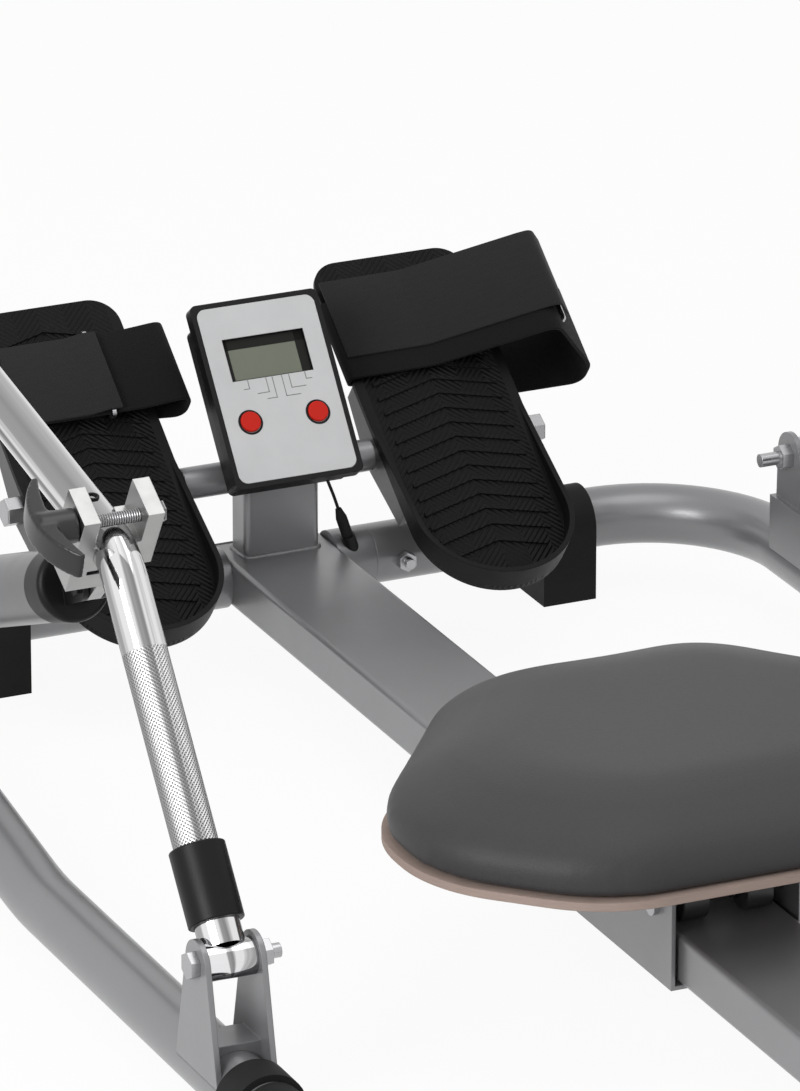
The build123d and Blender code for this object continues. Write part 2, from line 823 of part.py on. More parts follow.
# Console board with its two switches and the battery under it
with BuildPart() as console_board:
    with BuildSketch(console_plane.offset(-bezel_depth - board_thickness)):
        with Locations((0, board_rise)):
            Rectangle(board_width, board_length)
    extrude(amount=board_thickness)
    for side in (-1, 1):
        add(bar(console_spot(side * button_x, button_rise, bezel_depth), console_plane.z_dir,
                switch_diameter / 2,
                bezel_depth - bezel_wall - 2 * flat_gap - button_flange - button_travel))
    battery_depth = bezel_depth + board_thickness + battery_diameter / 2 + flat_gap
    add(bar(console_spot(0, -battery_drop, battery_depth), (1, 0, 0), battery_diameter / 2,
            battery_length / 2, both=True))
console_board.part.label = "console_board"


def console_button(x):
    """A red button: a domed cap above the label and a flange behind the front wall."""
    with BuildPart() as piece:
        with BuildSketch(console_plane.offset(-bezel_wall - flat_gap - button_flange)):
            with Locations((x, button_rise)):
                Circle(button_diameter / 2 + button_flange)
        extrude(amount=button_flange)
        with BuildSketch(console_plane.offset(-bezel_wall - flat_gap)):
            with Locations((x, button_rise)):
                Circle(button_diameter / 2)
        extrude(amount=bezel_wall + flat_gap + button_proud)
        crown = Axis(console_plane.origin, console_plane.z_dir)
        fillet(piece.faces().sort_by(crown)[-1].edges(), button_proud / 2)
    return piece.part


with BuildPart() as console_button_left:
    add(console_button(-button_x))
console_button_left.part.label = "console_button_left"
with BuildPart() as console_button_right:
    add(console_button(button_x))
console_button_right.part.label = "console_button_right"

# Console back: a flange behind the front tray and an inset shell with screw pillars
lead_exit = console_spot(lead_exit_x, shell_low, lead_exit_depth)
jack_height_on_collar = cross_height + sqrt(tube_radius ** 2 - jack_behind ** 2)
jack_base = spot(jack_x, jack_behind, jack_height_on_collar)
jack_up = Vector(jack_lean_x, jack_lean_y, jack_lean_z).normalized()
boot_top = jack_base + jack_up * (jack_height + boot_length)
lead_bend = boot_top + jack_up * lead_straight
lead_run = (lead_exit - lead_bend).normalized()
with BuildPart() as console_back:
    with BuildSketch(console_plane.offset(-bezel_depth)):
        RectangleRounded(console_width, console_length, console_corner)
    extrude(amount=-back_wall)
    with BuildSketch(console_plane.offset(-bezel_depth)):
        with Locations((0, shell_middle)):
            RectangleRounded(shell_width, shell_length, console_corner)
    extrude(amount=bezel_depth - console_depth)
    with BuildSketch(console_plane.offset(-bezel_depth)):
        with Locations((0, shell_middle)):
            RectangleRounded(shell_width - 2 * back_wall, shell_length - 2 * back_wall,
                             console_corner - back_wall)
    extrude(amount=bezel_depth + back_wall - console_depth, mode=Mode.SUBTRACT)
    with BuildSketch(console_plane.offset(-bezel_depth)):
        for side in (-1, 1):
            with Locations((side * pillar_x, pillar_low), (side * pillar_x, pillar_high)):
                Circle(pillar_diameter / 2)
    extrude(amount=bezel_depth - console_depth)
    with BuildSketch(console_plane.offset(-bezel_depth - board_thickness)):
        with Locations(*peg_places):
            Circle(peg_diameter / 2)
    extrude(amount=bezel_depth + board_thickness - console_depth)
    for side in (-1, 1):
        for rise in (pillar_low, pillar_high):
            add(bar(console_spot(side * pillar_x, rise, bezel_depth - cut_overrun), console_in,
                    screw_hole, console_depth), mode=Mode.SUBTRACT)
            add(bar(console_spot(side * pillar_x, rise, console_depth - screw_seat), console_in,
                    screw_head / 2 + flat_gap, console_depth), mode=Mode.SUBTRACT)
        add(bar(console_spot(side * bracket_screw_x, bracket_screw_rise,
                             console_depth - back_wall - cut_overrun), console_in,
                screw_hole, console_depth), mode=Mode.SUBTRACT)
    add(bar(lead_exit - lead_run * back_wall * 2, lead_run, lead_hole / 2, back_wall * 6),
        mode=Mode.SUBTRACT)
console_back.part.label = "console_back"

# Case screws from behind and two screws through the bracket
with BuildPart() as console_screws:
    for side in (-1, 1):
        for rise in (pillar_low, pillar_high):
            seat = console_spot(side * pillar_x, rise, console_depth - screw_seat)
            add(bar(seat, -console_in, screw_diameter / 2, screw_length))
            add(bar(seat, console_in, screw_head / 2, screw_head_length))
        seat = console_spot(side * bracket_screw_x, bracket_screw_rise, post_cut_depth)
        add(bar(seat, -console_in, screw_diameter / 2, bracket_wall + back_wall + screw_head_length))
        add(bar(seat, console_in, screw_head / 2, screw_head_length))
console_screws.part.label = "console_screws"

# Console bracket: the tilted plate on the cut top of the post
with BuildPart() as console_bracket:
    with BuildSketch(console_plane.offset(-post_cut_depth)):
        with Locations((0, (bracket_rise - bracket_drop) / 2)):
            RectangleRounded(bracket_width, bracket_rise + bracket_drop, console_corner)
        with Locations((-bracket_screw_x, bracket_screw_rise), (bracket_screw_x, bracket_screw_rise)):
            Circle(screw_hole, mode=Mode.SUBTRACT)
    extrude(amount=bracket_wall)
console_bracket.part.label = "console_bracket"

# Jack on the collar, boot on the jack and the lead up to the console
with BuildPart() as sensor_jack:
    add(bar(jack_base - jack_up * jack_diameter, jack_up, jack_diameter / 2,
            jack_diameter + jack_height))
    add(bar(spot(0, 0, cross_height), (1, 0, 0), tube_radius + running_gap, spigot_end, both=True),
        mode=Mode.SUBTRACT)
sensor_jack.part.label = "sensor_jack"
with BuildPart() as sensor_plug:
    with BuildSketch(Plane(origin=jack_base + jack_up * jack_height, z_dir=jack_up)) as boot_foot:
        Circle(boot_diameter / 2)
    extrude(amount=boot_length - boot_neck_length)
    with BuildSketch(Plane(origin=boot_top - jack_up * boot_neck_length, z_dir=jack_up)):
        Circle(boot_diameter / 2)
    with BuildSketch(Plane(origin=boot_top, z_dir=jack_up)):
        Circle(boot_neck_diameter / 2)
    loft(ruled=True)
sensor_plug.part.label = "sensor_plug"
lead_end = lead_exit + lead_run * lead_inside
lead_turn = radians(jack_up.get_angle(lead_run))
lead_radius = 0.45 * lead_straight / tan(lead_turn / 2)
with BuildPart() as sensor_lead:
    with BuildLine() as lead_path:
        FilletPolyline(boot_top, lead_bend, lead_end, radius=lead_radius)
    with BuildSketch(Plane(origin=boot_top, z_dir=jack_up)):
        Circle(lead_diameter / 2)
    sweep(path=lead_path.wires()[0])
sensor_lead.part.label = "sensor_lead"
lead_length = lead_path.wires()[0].length
print("lead radius", round(lead_radius, 2), "length", round(lead_length, 2), "volume share",
      round(sensor_lead.part.volume / (pi * (lead_diameter / 2) ** 2 * lead_length), 4))

# Arms: one bent tube on each side with a barrel on its pivot
arm_pivot = spot(-side_x, arm_pivot_y, arm_pivot_height)
knee = spot(-side_x, knee_y, knee_height)
lower_run = (knee - arm_pivot).normalized()
upper_run = Vector(0, cos(radians(arm_upper_angle)), sin(radians(arm_upper_angle)))
arm_end = knee + upper_run * arm_upper_length
arm_begin = arm_pivot + lower_run * arm_start


def arm_sweep(radius, bore):
    """The bent run of the arm as a tube, or as a solid where the bore is zero."""
    with BuildPart() as piece:
        with BuildLine() as path:
            FilletPolyline(arm_begin, knee, arm_end, radius=arm_bend)
        with BuildSketch(Plane(origin=arm_begin, z_dir=lower_run)):
            Circle(radius)
            if bore > 0:
                Circle(bore, mode=Mode.SUBTRACT)
        sweep(path=path.wires()[0])
    return piece.part


pivot_bore = pivot_bolt_diameter / 2 + running_gap
with BuildPart() as arm_left:
    add(arm_sweep(arm_diameter / 2, arm_diameter / 2 - arm_wall))
    add(bar(arm_pivot, (1, 0, 0), barrel_diameter / 2, bracket_gap / 2 - flat_gap, both=True))
    add(bar(arm_pivot, (1, 0, 0), pivot_bore, bracket_gap, both=True), mode=Mode.SUBTRACT)
arm_left.part.label = "arm_left"
with BuildPart() as arm_right:
    add(mirror(arm_left.part, about=Plane.YZ))
arm_right.part.label = "arm_right"

# Black sleeve above the pivot and foam grip on the end of each arm
arm_fit = arm_diameter / 2 + running_gap
with BuildPart() as arm_sleeve_left:
    add(bar(arm_pivot + lower_run * sleeve_start, lower_run, sleeve_diameter / 2,
            sleeve_end - sleeve_start, bore=arm_fit))
    fillet(arm_sleeve_left.edges().filter_by(GeomType.CIRCLE).group_by(SortBy.RADIUS)[-1],
           arm_wall / 2)
arm_sleeve_left.part.label = "arm_sleeve_left"
with BuildPart() as arm_sleeve_right:
    add(mirror(arm_sleeve_left.part, about=Plane.YZ))
arm_sleeve_right.part.label = "arm_sleeve_right"
with BuildPart() as arm_grip_left:
    add(bar(arm_end - upper_run * grip_length, upper_run, grip_diameter / 2,
            grip_length + grip_end_wall))
    add(bar(arm_end - upper_run * (grip_length + cut_overrun), upper_run, arm_fit,
            grip_length + cut_overrun), mode=Mode.SUBTRACT)
    fillet(arm_grip_left.edges().filter_by(GeomType.CIRCLE).group_by(SortBy.RADIUS)[-1],
           grip_end_wall / 2)
arm_grip_left.part.label = "arm_grip_left"
with BuildPart() as arm_grip_right:
    add(mirror(arm_grip_left.part, about=Plane.YZ))
arm_grip_right.part.label = "arm_grip_right"

# Brackets welded on the outriggers that carry the arm pivots
lug_offset = (bracket_gap + lug_wall) / 2
with BuildPart() as arm_brackets:
    for side in (-1, 1):
        for face in (-1, 1):
            add(side_hull(side * side_x + face * lug_offset, [
                (arm_pivot_y, arm_pivot_height, lug_radius),
                (arm_pivot_y - lug_base_half, lug_base_height, lug_wall),
                (arm_pivot_y + lug_base_half, lug_base_height, lug_wall),
            ], lug_wall))
        web_top = rear_tube_height + tube_radius + pivot_web
        add(side_slab(side * side_x, [
            (arm_pivot_y - lug_base_half / 2, lug_base_height),
            (arm_pivot_y + lug_base_half / 2, lug_base_height),
            (arm_pivot_y + lug_base_half / 2, web_top),
            (arm_pivot_y - lug_base_half / 2, web_top),
        ], bracket_gap + lug_wall))
        add(bar(spot(side * side_x, arm_pivot_y, rear_tube_height), (0, 1, 0),
                tube_radius + running_gap, 2 * lug_base_half, both=True), mode=Mode.SUBTRACT)
        add(bar(spot(side * side_x, arm_pivot_y, arm_pivot_height), (1, 0, 0), pivot_bore,
                bracket_gap, both=True), mode=Mode.SUBTRACT)
arm_brackets.part.label = "arm_brackets"

# Box brackets on the outriggers with the lugs for the front ends of the cylinders
box_half = bracket_gap / 2 + lug_wall
front_lug_offset = (front_lug_gap + lug_wall) / 2
with BuildPart() as cylinder_brackets:
    for side in (-1, 1):
        add(side_slab(side * side_x, [
            (box_front, box_base_height), (box_rear, box_base_height),
            (box_rear, box_height), (box_front, box_height),
        ], 2 * box_half))
        add(side_slab(side * side_x, [
            (box_front + box_wall, box_base_height - cut_overrun),
            (box_rear - box_wall, box_base_height - cut_overrun),
            (box_rear - box_wall, box_height - box_wall),
            (box_front + box_wall, box_height - box_wall),
        ], 2 * (box_half - box_wall)), mode=Mode.SUBTRACT)
        for face in (-1, 1):
            add(side_hull(side * side_x + face * front_lug_offset, [
                (front_pivot_y, front_pivot_height, front_lug_radius),
                (box_front + box_wall, box_height - box_wall / 2, box_wall / 2),
                (box_rear - 2 * box_wall, box_height - box_wall / 2, box_wall / 2),
            ], lug_wall))
        add(bar(spot(side * side_x, (box_front + box_rear) / 2, cross_height), (0, 1, 0),
                tube_radius + running_gap, box_rear - box_front, both=True), mode=Mode.SUBTRACT)
        add(bar(spot(side * side_x, front_pivot_y, front_pivot_height), (1, 0, 0), pivot_bore,
                bracket_gap, both=True), mode=Mode.SUBTRACT)
cylinder_brackets.part.label = "cylinder_brackets"

# Four equal pivot bolts, their heads outboard and their nuts inboard
with BuildPart() as pivot_bolts:
    for side in (-1, 1):
        for behind, height, half in (
            (front_pivot_y, front_pivot_height, front_lug_gap / 2 + lug_wall),
            (arm_pivot_y, arm_pivot_height, bracket_gap / 2 + lug_wall),
        ):
            head = spot(side * (side_x + half), behind, height)
            nut = spot(side * (side_x - half), behind, height)
            add(bar(head, (-side, 0, 0), pivot_bolt_diameter / 2, bolt_grip))
            add(hexagon(head, (side, 0, 0), bolt_head_width, bolt_head_length))
            add(hexagon(nut, (-side, 0, 0), bolt_head_width, bolt_nut_length))
pivot_bolts.part.label = "pivot_bolts"

# Resistance clamp on the knee: directions out of the bend and along it
clamp_out = (lower_run - upper_run).normalized()
clamp_forward = (lower_run + upper_run).normalized()
tail_pin = spot(-side_x, tail_pin_y, tail_pin_height)


def clamp_pair(out, along):
    """A place on the clamp as distance behind the crossmember and height."""
    place = knee + clamp_out * out + clamp_forward * along
    return (cross_y - place.Y, place.Z)


def clamp_box(low, high, first, last):
    """The outline of a clamp block from its two heights out of the bend."""
    return [clamp_pair(low, first), clamp_pair(low, last), clamp_pair(high, last),
            clamp_pair(high, first)]


clamp_first = clamp_along - jaw_half_length
clamp_last = clamp_along + jaw_half_length
stud_middle = knee + clamp_out * stud_out + clamp_forward * stud_along
tail_pair = (tail_pin_y, tail_pin_height)
with BuildPart() as clamp_jaws_left:
    for side, low in ((-1, -bridge_under), (1, -jaw_under)):
        block_x = -side_x + side * (jaw_inner + jaw_wall / 2)
        pad_x = -side_x + side * (jaw_pad_inner + jaw_inner) / 2
        add(side_slab(block_x, clamp_box(low, jaw_out, clamp_first, clamp_last), jaw_wall))
        add(side_slab(pad_x, clamp_box(-jaw_under, jaw_pad_out, clamp_first, clamp_last),
                      jaw_inner - jaw_pad_inner))
    bridge_width = jaw_inner + lug_half
    add(side_slab(-side_x - jaw_inner + bridge_width / 2,
                  clamp_box(-bridge_under, -bridge_top, clamp_first, clamp_last), bridge_width))
    add(side_hull(-side_x, [
        (*tail_pair, tail_radius),
        (*clamp_pair(-bridge_under + lug_half, clamp_first + lug_half), lug_half),
        (*clamp_pair(-bridge_under + lug_half, clamp_last - lug_half), lug_half),
    ], 2 * lug_half))
    add(arm_sweep(arm_fit, 0), mode=Mode.SUBTRACT)
    add(bar(stud_middle, (1, 0, 0), stud_diameter / 2 + running_gap, tube_diameter, both=True),
        mode=Mode.SUBTRACT)
    add(bar(tail_pin, (1, 0, 0), tail_bolt_diameter / 2 + running_gap, lug_half, both=True),
        mode=Mode.SUBTRACT)
clamp_jaws_left.part.label = "clamp_jaws_left"
with BuildPart() as clamp_jaws_right:
    add(mirror(clamp_jaws_left.part, about=Plane.YZ))
clamp_jaws_right.part.label = "clamp_jaws_right"

# Threaded stud through the jaws, with its head inboard, and the pin in the tail
jaw_face = jaw_inner + jaw_wall
stud_length = 2 * jaw_face + stud_reach + knob_hub_length / 2
stud_head = Vector(-side_x + jaw_face, stud_middle.Y, stud_middle.Z)
with BuildPart() as clamp_bolt_left:
    add(bar(stud_head, (-1, 0, 0), stud_diameter / 2, stud_length))
    add(hexagon(stud_head, (1, 0, 0), small_bolt_head, small_bolt_head_length))
    add(bar(tail_pin, (1, 0, 0), tail_bolt_diameter / 2, lug_half, both=True))
clamp_bolt_left.part.label = "clamp_bolt_left"
with BuildPart() as clamp_bolt_right:
    add(mirror(clamp_bolt_left.part, about=Plane.YZ))
clamp_bolt_right.part.label = "clamp_bolt_right"

# Wing knob on the stud: a hub with a crescent wing
hub_start = Vector(-side_x - jaw_face - knob_gap, stud_middle.Y, stud_middle.Z)
wing_turn = radians(knob_wing_angle)
wing_run = Vector(0, cos(wing_turn), sin(wing_turn))
wing_plane = Plane(origin=hub_start + Vector(-knob_hub_length, 0, 0), x_dir=wing_run,
                   z_dir=Vector(0, -sin(wing_turn), cos(wing_turn)))
half_span = knob_wing_span / 2
with BuildPart() as clamp_knob_left:
    add(bar(hub_start, (-1, 0, 0), knob_hub_diameter / 2, knob_hub_length))
    with BuildSketch(wing_plane):
        with BuildLine():
            ThreePointArc((-half_span, -knob_wing_sag), (0, knob_wing_thickness / 2),
                          (half_span, -knob_wing_sag))
            Line((half_span, -knob_wing_sag), (half_span, -knob_wing_sag - knob_wing_thickness / 2))
            ThreePointArc((half_span, -knob_wing_sag - knob_wing_thickness / 2),
                          (0, -knob_wing_thickness),
                          (-half_span, -knob_wing_sag - knob_wing_thickness / 2))
            Line((-half_span, -knob_wing_sag - knob_wing_thickness / 2),
                 (-half_span, -knob_wing_sag))
        make_face()
    extrude(amount=knob_wing_depth / 2, both=True)
    add(bar(hub_start + Vector(cut_overrun, 0, 0), (-1, 0, 0), stud_diameter / 2 + running_gap,
            cut_overrun + stud_reach + knob_hub_length / 2), mode=Mode.SUBTRACT)
clamp_knob_left.part.label = "clamp_knob_left"
with BuildPart() as clamp_knob_right:
    add(mirror(clamp_knob_left.part, about=Plane.YZ))
clamp_knob_right.part.label = "clamp_knob_right"

# Hydraulic cylinders: eye and rod on the front bracket, body and cap on the clamp
front_pivot = spot(-side_x, front_pivot_y, front_pivot_height)
cylinder_run = (tail_pin - front_pivot).normalized()
pin_distance = (tail_pin - front_pivot).length
cap_face = pin_distance - cap_to_pin
body_end = cap_face - cap_length
cylinder_bore = cylinder_diameter / 2 - cylinder_wall
rod_end = body_end - gland_length / 3
across_rod = Vector(0, -cylinder_run.Z, cylinder_run.Y)
with BuildPart() as piston_rod_left:
    add(bar(front_pivot, cylinder_run, rod_diameter / 2, rod_end))
    add(bar(front_pivot + cylinder_run * (rod_end - piston_length), cylinder_run,
            cylinder_bore - running_gap, piston_length))
    add(bar(front_pivot, (1, 0, 0), eye_diameter / 2, front_lug_gap / 2 - flat_gap, both=True))
    add(bar(front_pivot, (1, 0, 0), pivot_bore, front_lug_gap, both=True), mode=Mode.SUBTRACT)
piston_rod_left.part.label = "piston_rod_left"
with BuildPart() as piston_rod_right:
    add(mirror(piston_rod_left.part, about=Plane.YZ))
piston_rod_right.part.label = "piston_rod_right"
with BuildPart() as cylinder_left:
    add(bar(front_pivot + cylinder_run * cylinder_start, cylinder_run, cylinder_diameter / 2,
            body_end - cylinder_start))
    add(bar(front_pivot + cylinder_run * (cylinder_start + gland_length), cylinder_run,
            cylinder_bore, body_end), mode=Mode.SUBTRACT)
    add(bar(front_pivot, cylinder_run, rod_diameter / 2 + running_gap, body_end),
        mode=Mode.SUBTRACT)
cylinder_left.part.label = "cylinder_left"
with BuildPart() as cylinder_right:
    add(mirror(cylinder_left.part, about=Plane.YZ))
cylinder_right.part.label = "cylinder_right"
cap_low = front_pivot + cylinder_run * (cap_face - ear_wall) - across_rod * tail_radius
cap_high = front_pivot + cylinder_run * (cap_face - ear_wall) + across_rod * tail_radius
with BuildPart() as cylinder_cap_left:
    add(bar(front_pivot + cylinder_run * body_end, cylinder_run, cylinder_diameter / 2 + cap_rim,
            cap_length))
    fillet(cylinder_cap_left.faces().sort_by(Axis(front_pivot, cylinder_run))[-1].edges(),
           cap_length / 3)
    add(bar(front_pivot + cylinder_run * (body_end - cap_length), cylinder_run,
            cylinder_diameter / 2 + cap_rim, cap_length, bore=cylinder_diameter / 2 + running_gap))
    for face in (-1, 1):
        ear_x = -side_x + face * (lug_half + ear_gap + ear_wall / 2)
        add(side_hull(ear_x, [
            (*tail_pair, tail_radius),
            (cross_y - cap_low.Y, cap_low.Z, cap_rim),
            (cross_y - cap_high.Y, cap_high.Z, cap_rim),
        ], ear_wall))
        bolt_face = tail_pin + Vector(face * (lug_half + ear_gap + ear_wall), 0, 0)
        add(hexagon(bolt_face, (face, 0, 0), tail_bolt_width, tail_bolt_head))
cylinder_cap_left.part.label = "cylinder_cap_left"
with BuildPart() as cylinder_cap_right:
    add(mirror(cylinder_cap_left.part, about=Plane.YZ))
cylinder_cap_right.part.label = "cylinder_cap_right"

# Seat pad: a cushion with a crown and drawn-in sides, from sections up its height
pad_bottom = seat_bottom + seat_base_thickness + soft_gap
pad_height_shares = (0, 0.17, 0.37, 0.55, 0.72, 0.84, 0.92, 0.98, 1)
pad_inset_shares = (0.1, 0, 0, 0.2, 0.66, 1.3, 1.9, 2.7, 3.2)


flank = seat_length * (seat_wide_end_share - seat_wide_share)
front_turn = atan2(seat_width / 2 * (1 - seat_front_share), seat_length * seat_wide_share)
rear_turn = atan2(seat_width / 2 * (1 - seat_rear_share), seat_length * (1 - seat_wide_end_share))
seat_corner = seat_corner_fill * flank / (tan(front_turn / 2) + tan(rear_turn / 2))


def seat_outline(height, inset):
    """The rounded outline of the seat at a height, drawn in by an inset."""
    drawn = 1 - inset / (seat_width / 2)
    front_half = seat_width / 2 * seat_front_share * drawn
    rear_half = seat_width / 2 * seat_rear_share * drawn
    full_half = seat_width / 2 * drawn
    front = cross_y - seat_centre_y + seat_length / 2 * drawn
    wide_front = front - seat_length * seat_wide_share * drawn
    wide_rear = front - seat_length * seat_wide_end_share * drawn
    rear = front - seat_length * drawn
    with BuildSketch(Plane.XY.offset(height)) as outline:
        with BuildLine():
            FilletPolyline(
                (-front_half, front), (-full_half, wide_front), (-full_half, wide_rear),
                (-rear_half, rear), (rear_half, rear), (full_half, wide_rear),
                (full_half, wide_front), (front_half, front),
                radius=seat_corner * drawn, close=True,
            )
        make_face()
    return outline.sketch


with BuildPart() as seat_pad:
    for height_share, inset_share in zip(pad_height_shares, pad_inset_shares):
        add(seat_outline(pad_bottom + (seat_top - pad_bottom) * height_share,
                         pad_top_draw * inset_share))
    loft(ruled=True)
seat_pad.part.label = "seat_pad"
with BuildPart() as seat_base:
    add(seat_outline(seat_bottom, 0))
    extrude(amount=seat_base_thickness)
seat_base.part.label = "seat_base"

# Seat carriage: a channel round the beam, with holes for two roller axles
channel_inner = beam_width / 2 + carriage_clearance
channel_outer = channel_inner + carriage_wall
lip_top = beam_top - beam_height - carriage_lip_gap
lip_bottom = lip_top - carriage_wall
channel_ceiling = seat_bottom - carriage_top_wall
roller_height = beam_top + roller_diameter / 2 + roller_ride_gap
carriage_plane = Plane(origin=spot(0, seat_centre_y, 0), x_dir=(1, 0, 0), z_dir=(0, -1, 0))
with BuildPart() as seat_carriage:
    with BuildSketch(carriage_plane):
        with BuildLine():
            Polyline(
                (-channel_outer, seat_bottom), (-channel_outer, lip_bottom),
                (-channel_inner + carriage_lip, lip_bottom), (-channel_inner + carriage_lip, lip_top),
                (-channel_inner, lip_top), (-channel_inner, channel_ceiling),
                (channel_inner, channel_ceiling), (channel_inner, lip_top),
                (channel_inner - carriage_lip, lip_top), (channel_inner - carriage_lip, lip_bottom),
                (channel_outer, lip_bottom), (channel_outer, seat_bottom),
                close=True,
            )
        make_face()
    extrude(amount=carriage_length / 2, both=True)
    for side in (-1, 1):
        add(bar(spot(0, seat_centre_y + side * roller_spread, roller_height), (1, 0, 0),
                roller_axle_diameter / 2 + running_gap, 2 * channel_outer, both=True),
            mode=Mode.SUBTRACT)
seat_carriage.part.label = "seat_carriage"

# Roller axles with their heads outside the channel
with BuildPart() as seat_axles:
    for side in (-1, 1):
        middle = spot(0, seat_centre_y + side * roller_spread, roller_height)
        add(bar(middle, (1, 0, 0), roller_axle_diameter / 2, channel_outer, both=True))
        for face in (-1, 1):
            add(bar(middle + Vector(face * channel_outer, 0, 0), (face, 0, 0),
                    axle_head_diameter / 2, axle_head_length))
seat_axles.part.label = "seat_axles"


def roller_pair(behind):
    """Two rollers on one axle, each with a small rounded edge."""
    with BuildPart() as piece:
        for side in (-1, 1):
            add(bar(spot(side * roller_x, behind, roller_height), (1, 0, 0), roller_diameter / 2,
                    roller_width / 2, bore=roller_axle_diameter / 2 + running_gap, both=True))
        chamfer(piece.edges().filter_by(GeomType.CIRCLE).group_by(SortBy.RADIUS)[-1],
                roller_axle_diameter / 8)
    return piece.part


with BuildPart() as seat_roller_front:
    add(roller_pair(seat_centre_y - roller_spread))
seat_roller_front.part.label = "seat_roller_front"
with BuildPart() as seat_roller_rear:
    add(roller_pair(seat_centre_y + roller_spread))
seat_roller_rear.part.label = "seat_roller_rear"

pieces = [
    main_beam, beam_end_caps, front_crossmember, outrigger_left, outrigger_right, outrigger_bolts,
    outrigger_end_caps, front_feet, rear_feet, rear_stabiliser, stabiliser_caps, console_post,
    pedal_tube, pedal_axle, pedal_axle_nuts, footplate_left, footplate_right, foot_strap_left,
    foot_strap_right, strap_ring_left, strap_ring_right, console_front, console_label,
    console_screen, console_board, console_button_left, console_button_right, console_back,
    console_screws, console_bracket, sensor_jack, sensor_plug, sensor_lead, arm_left, arm_right,
    arm_sleeve_left, arm_sleeve_right, arm_grip_left, arm_grip_right, arm_brackets,
    cylinder_brackets, pivot_bolts, clamp_jaws_left, clamp_jaws_right, clamp_bolt_left,
    clamp_bolt_right, clamp_knob_left, clamp_knob_right, piston_rod_left, piston_rod_right,
    cylinder_left, cylinder_right, cylinder_cap_left, cylinder_cap_right, seat_pad, seat_base,
    seat_carriage, seat_axles, seat_roller_front, seat_roller_rear,
]
os.makedirs("parts", exist_ok=True)
for piece in pieces:
    export_step(piece.part, "parts/" + piece.part.label + ".step")
print(len(pieces), "pieces")
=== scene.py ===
import json
import math

import bpy
from mathutils import Matrix, Vector


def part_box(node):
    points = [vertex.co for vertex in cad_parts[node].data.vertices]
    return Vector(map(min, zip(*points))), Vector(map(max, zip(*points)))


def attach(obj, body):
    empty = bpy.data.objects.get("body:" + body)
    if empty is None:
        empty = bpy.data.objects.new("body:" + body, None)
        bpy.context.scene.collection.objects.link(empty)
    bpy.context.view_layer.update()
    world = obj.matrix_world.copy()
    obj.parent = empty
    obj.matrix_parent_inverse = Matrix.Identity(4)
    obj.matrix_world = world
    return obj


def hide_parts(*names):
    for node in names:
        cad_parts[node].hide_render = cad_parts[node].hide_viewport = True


bl_info = {
    "name": "Hydraulic rowing machine",
    "version": (1, 0, 0),
    "blender": (4, 5, 0),
    "location": "View3D > Sidebar > Rower",
    "description": "Dresses the rowing machine's frame with its soft parts, small parts "
                   "and finishes",
    "category": "Object",
}

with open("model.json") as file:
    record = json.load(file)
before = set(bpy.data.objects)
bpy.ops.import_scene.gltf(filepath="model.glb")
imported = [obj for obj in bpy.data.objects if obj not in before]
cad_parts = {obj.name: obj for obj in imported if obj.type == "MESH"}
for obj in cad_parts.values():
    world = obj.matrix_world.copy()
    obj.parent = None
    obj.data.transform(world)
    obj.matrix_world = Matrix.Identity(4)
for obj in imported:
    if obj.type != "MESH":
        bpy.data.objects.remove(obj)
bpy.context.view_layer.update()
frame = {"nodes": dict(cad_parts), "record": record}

# Places and directions that the pieces share; lengths are in metres throughout
RIGHT = Vector((1, 0, 0))
SIDES = (("left", -1), ("right", 1))
AXLE = (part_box("pedal_axle")[0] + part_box("pedal_axle")[1]) / 2
BEAM_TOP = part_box("main_beam")[1].z
PLATE_X = 0.141
MERGED = 0.00001

# The arms: the bolt they turn on, the knee above it and how far the upper leg climbs
ARM_X = abs(sum(c.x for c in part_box("arm_left")) / 2)
ARM_RADIUS = 0.0155
ARM_PIVOT = Vector((0, AXLE.y - 0.755, 0.107))
ARM_KNEE = Vector((0, AXLE.y - 0.577, 0.332))
ARM_LEAN = math.radians(9.7)
KNURL_START, KNURL_END, KNURL_PITCH, KNURL_DEPTH = 0.078, 0.215, 0.0030, 0.0005

# Painted reflections round the arm's legs, as light and dark bands: place in a turn, share of the
# chrome's brightness
LOWER_REFLECTIONS = ((0.36, 0.42), (0.42, 0.95), (0.47, 0.95), (0.50, 0.30), (0.535, 0.42),
               (0.56, 1.0), (0.66, 1.0), (0.70, 0.46), (0.85, 0.35))
UPPER_REFLECTIONS = ((0.32, 0.85), (0.42, 0.78), (0.47, 0.52), (0.56, 0.34), (0.66, 0.42),
               (0.70, 0.95), (0.745, 0.16), (0.80, 0.95))

# The screws in the arms: how far above the knee and out of the middle, and their sizes
SCREW_CLIMB, SCREW_OUT = 0.046, 0.0152
SCREW_RADIUS, SCREW_DEPTH, SCREW_EDGE = 0.0047, 0.0030, 0.0005
SCREW_RIM, SCREW_SOCKET = 0.0018, 0.0018

# The console's face: the middle of its foot, and the window in it
CONSOLE_FOOT = Vector((0, AXLE.y - 0.004, 0.198))
WINDOW_Y, WINDOW_HIGH, SCREEN_DEPTH = 0.0265, 0.033, 0.0030
PRINT_THICKNESS, PRINT_SINK = 0.00012, 0.00002
WINDOW_SHADOW_THICKNESS = 0.0004

# Leader lines under the window: place across, drop from the window, turn to the side
LEADERS = ((-0.0209, 0.0070, -0.0042), (-0.0063, 0.0115, -0.0090), (-0.0013, 0.0165, -0.0076),
           (0.0063, 0.0165, 0.0111), (0.0120, 0.0108, 0.0111), (0.0249, 0.0057, 0.0044))

# Painted shadow in the display's recess, as dark bars: place across and up from the window's
# middle, width, height
WINDOW_SHADOW_BARS = ((-0.03065, 0, 0.0037, 0.033), (0.02875, 0, 0.0075, 0.033),
            (0, 0.01255, 0.065, 0.0079), (0, -0.01585, 0.065, 0.0013))

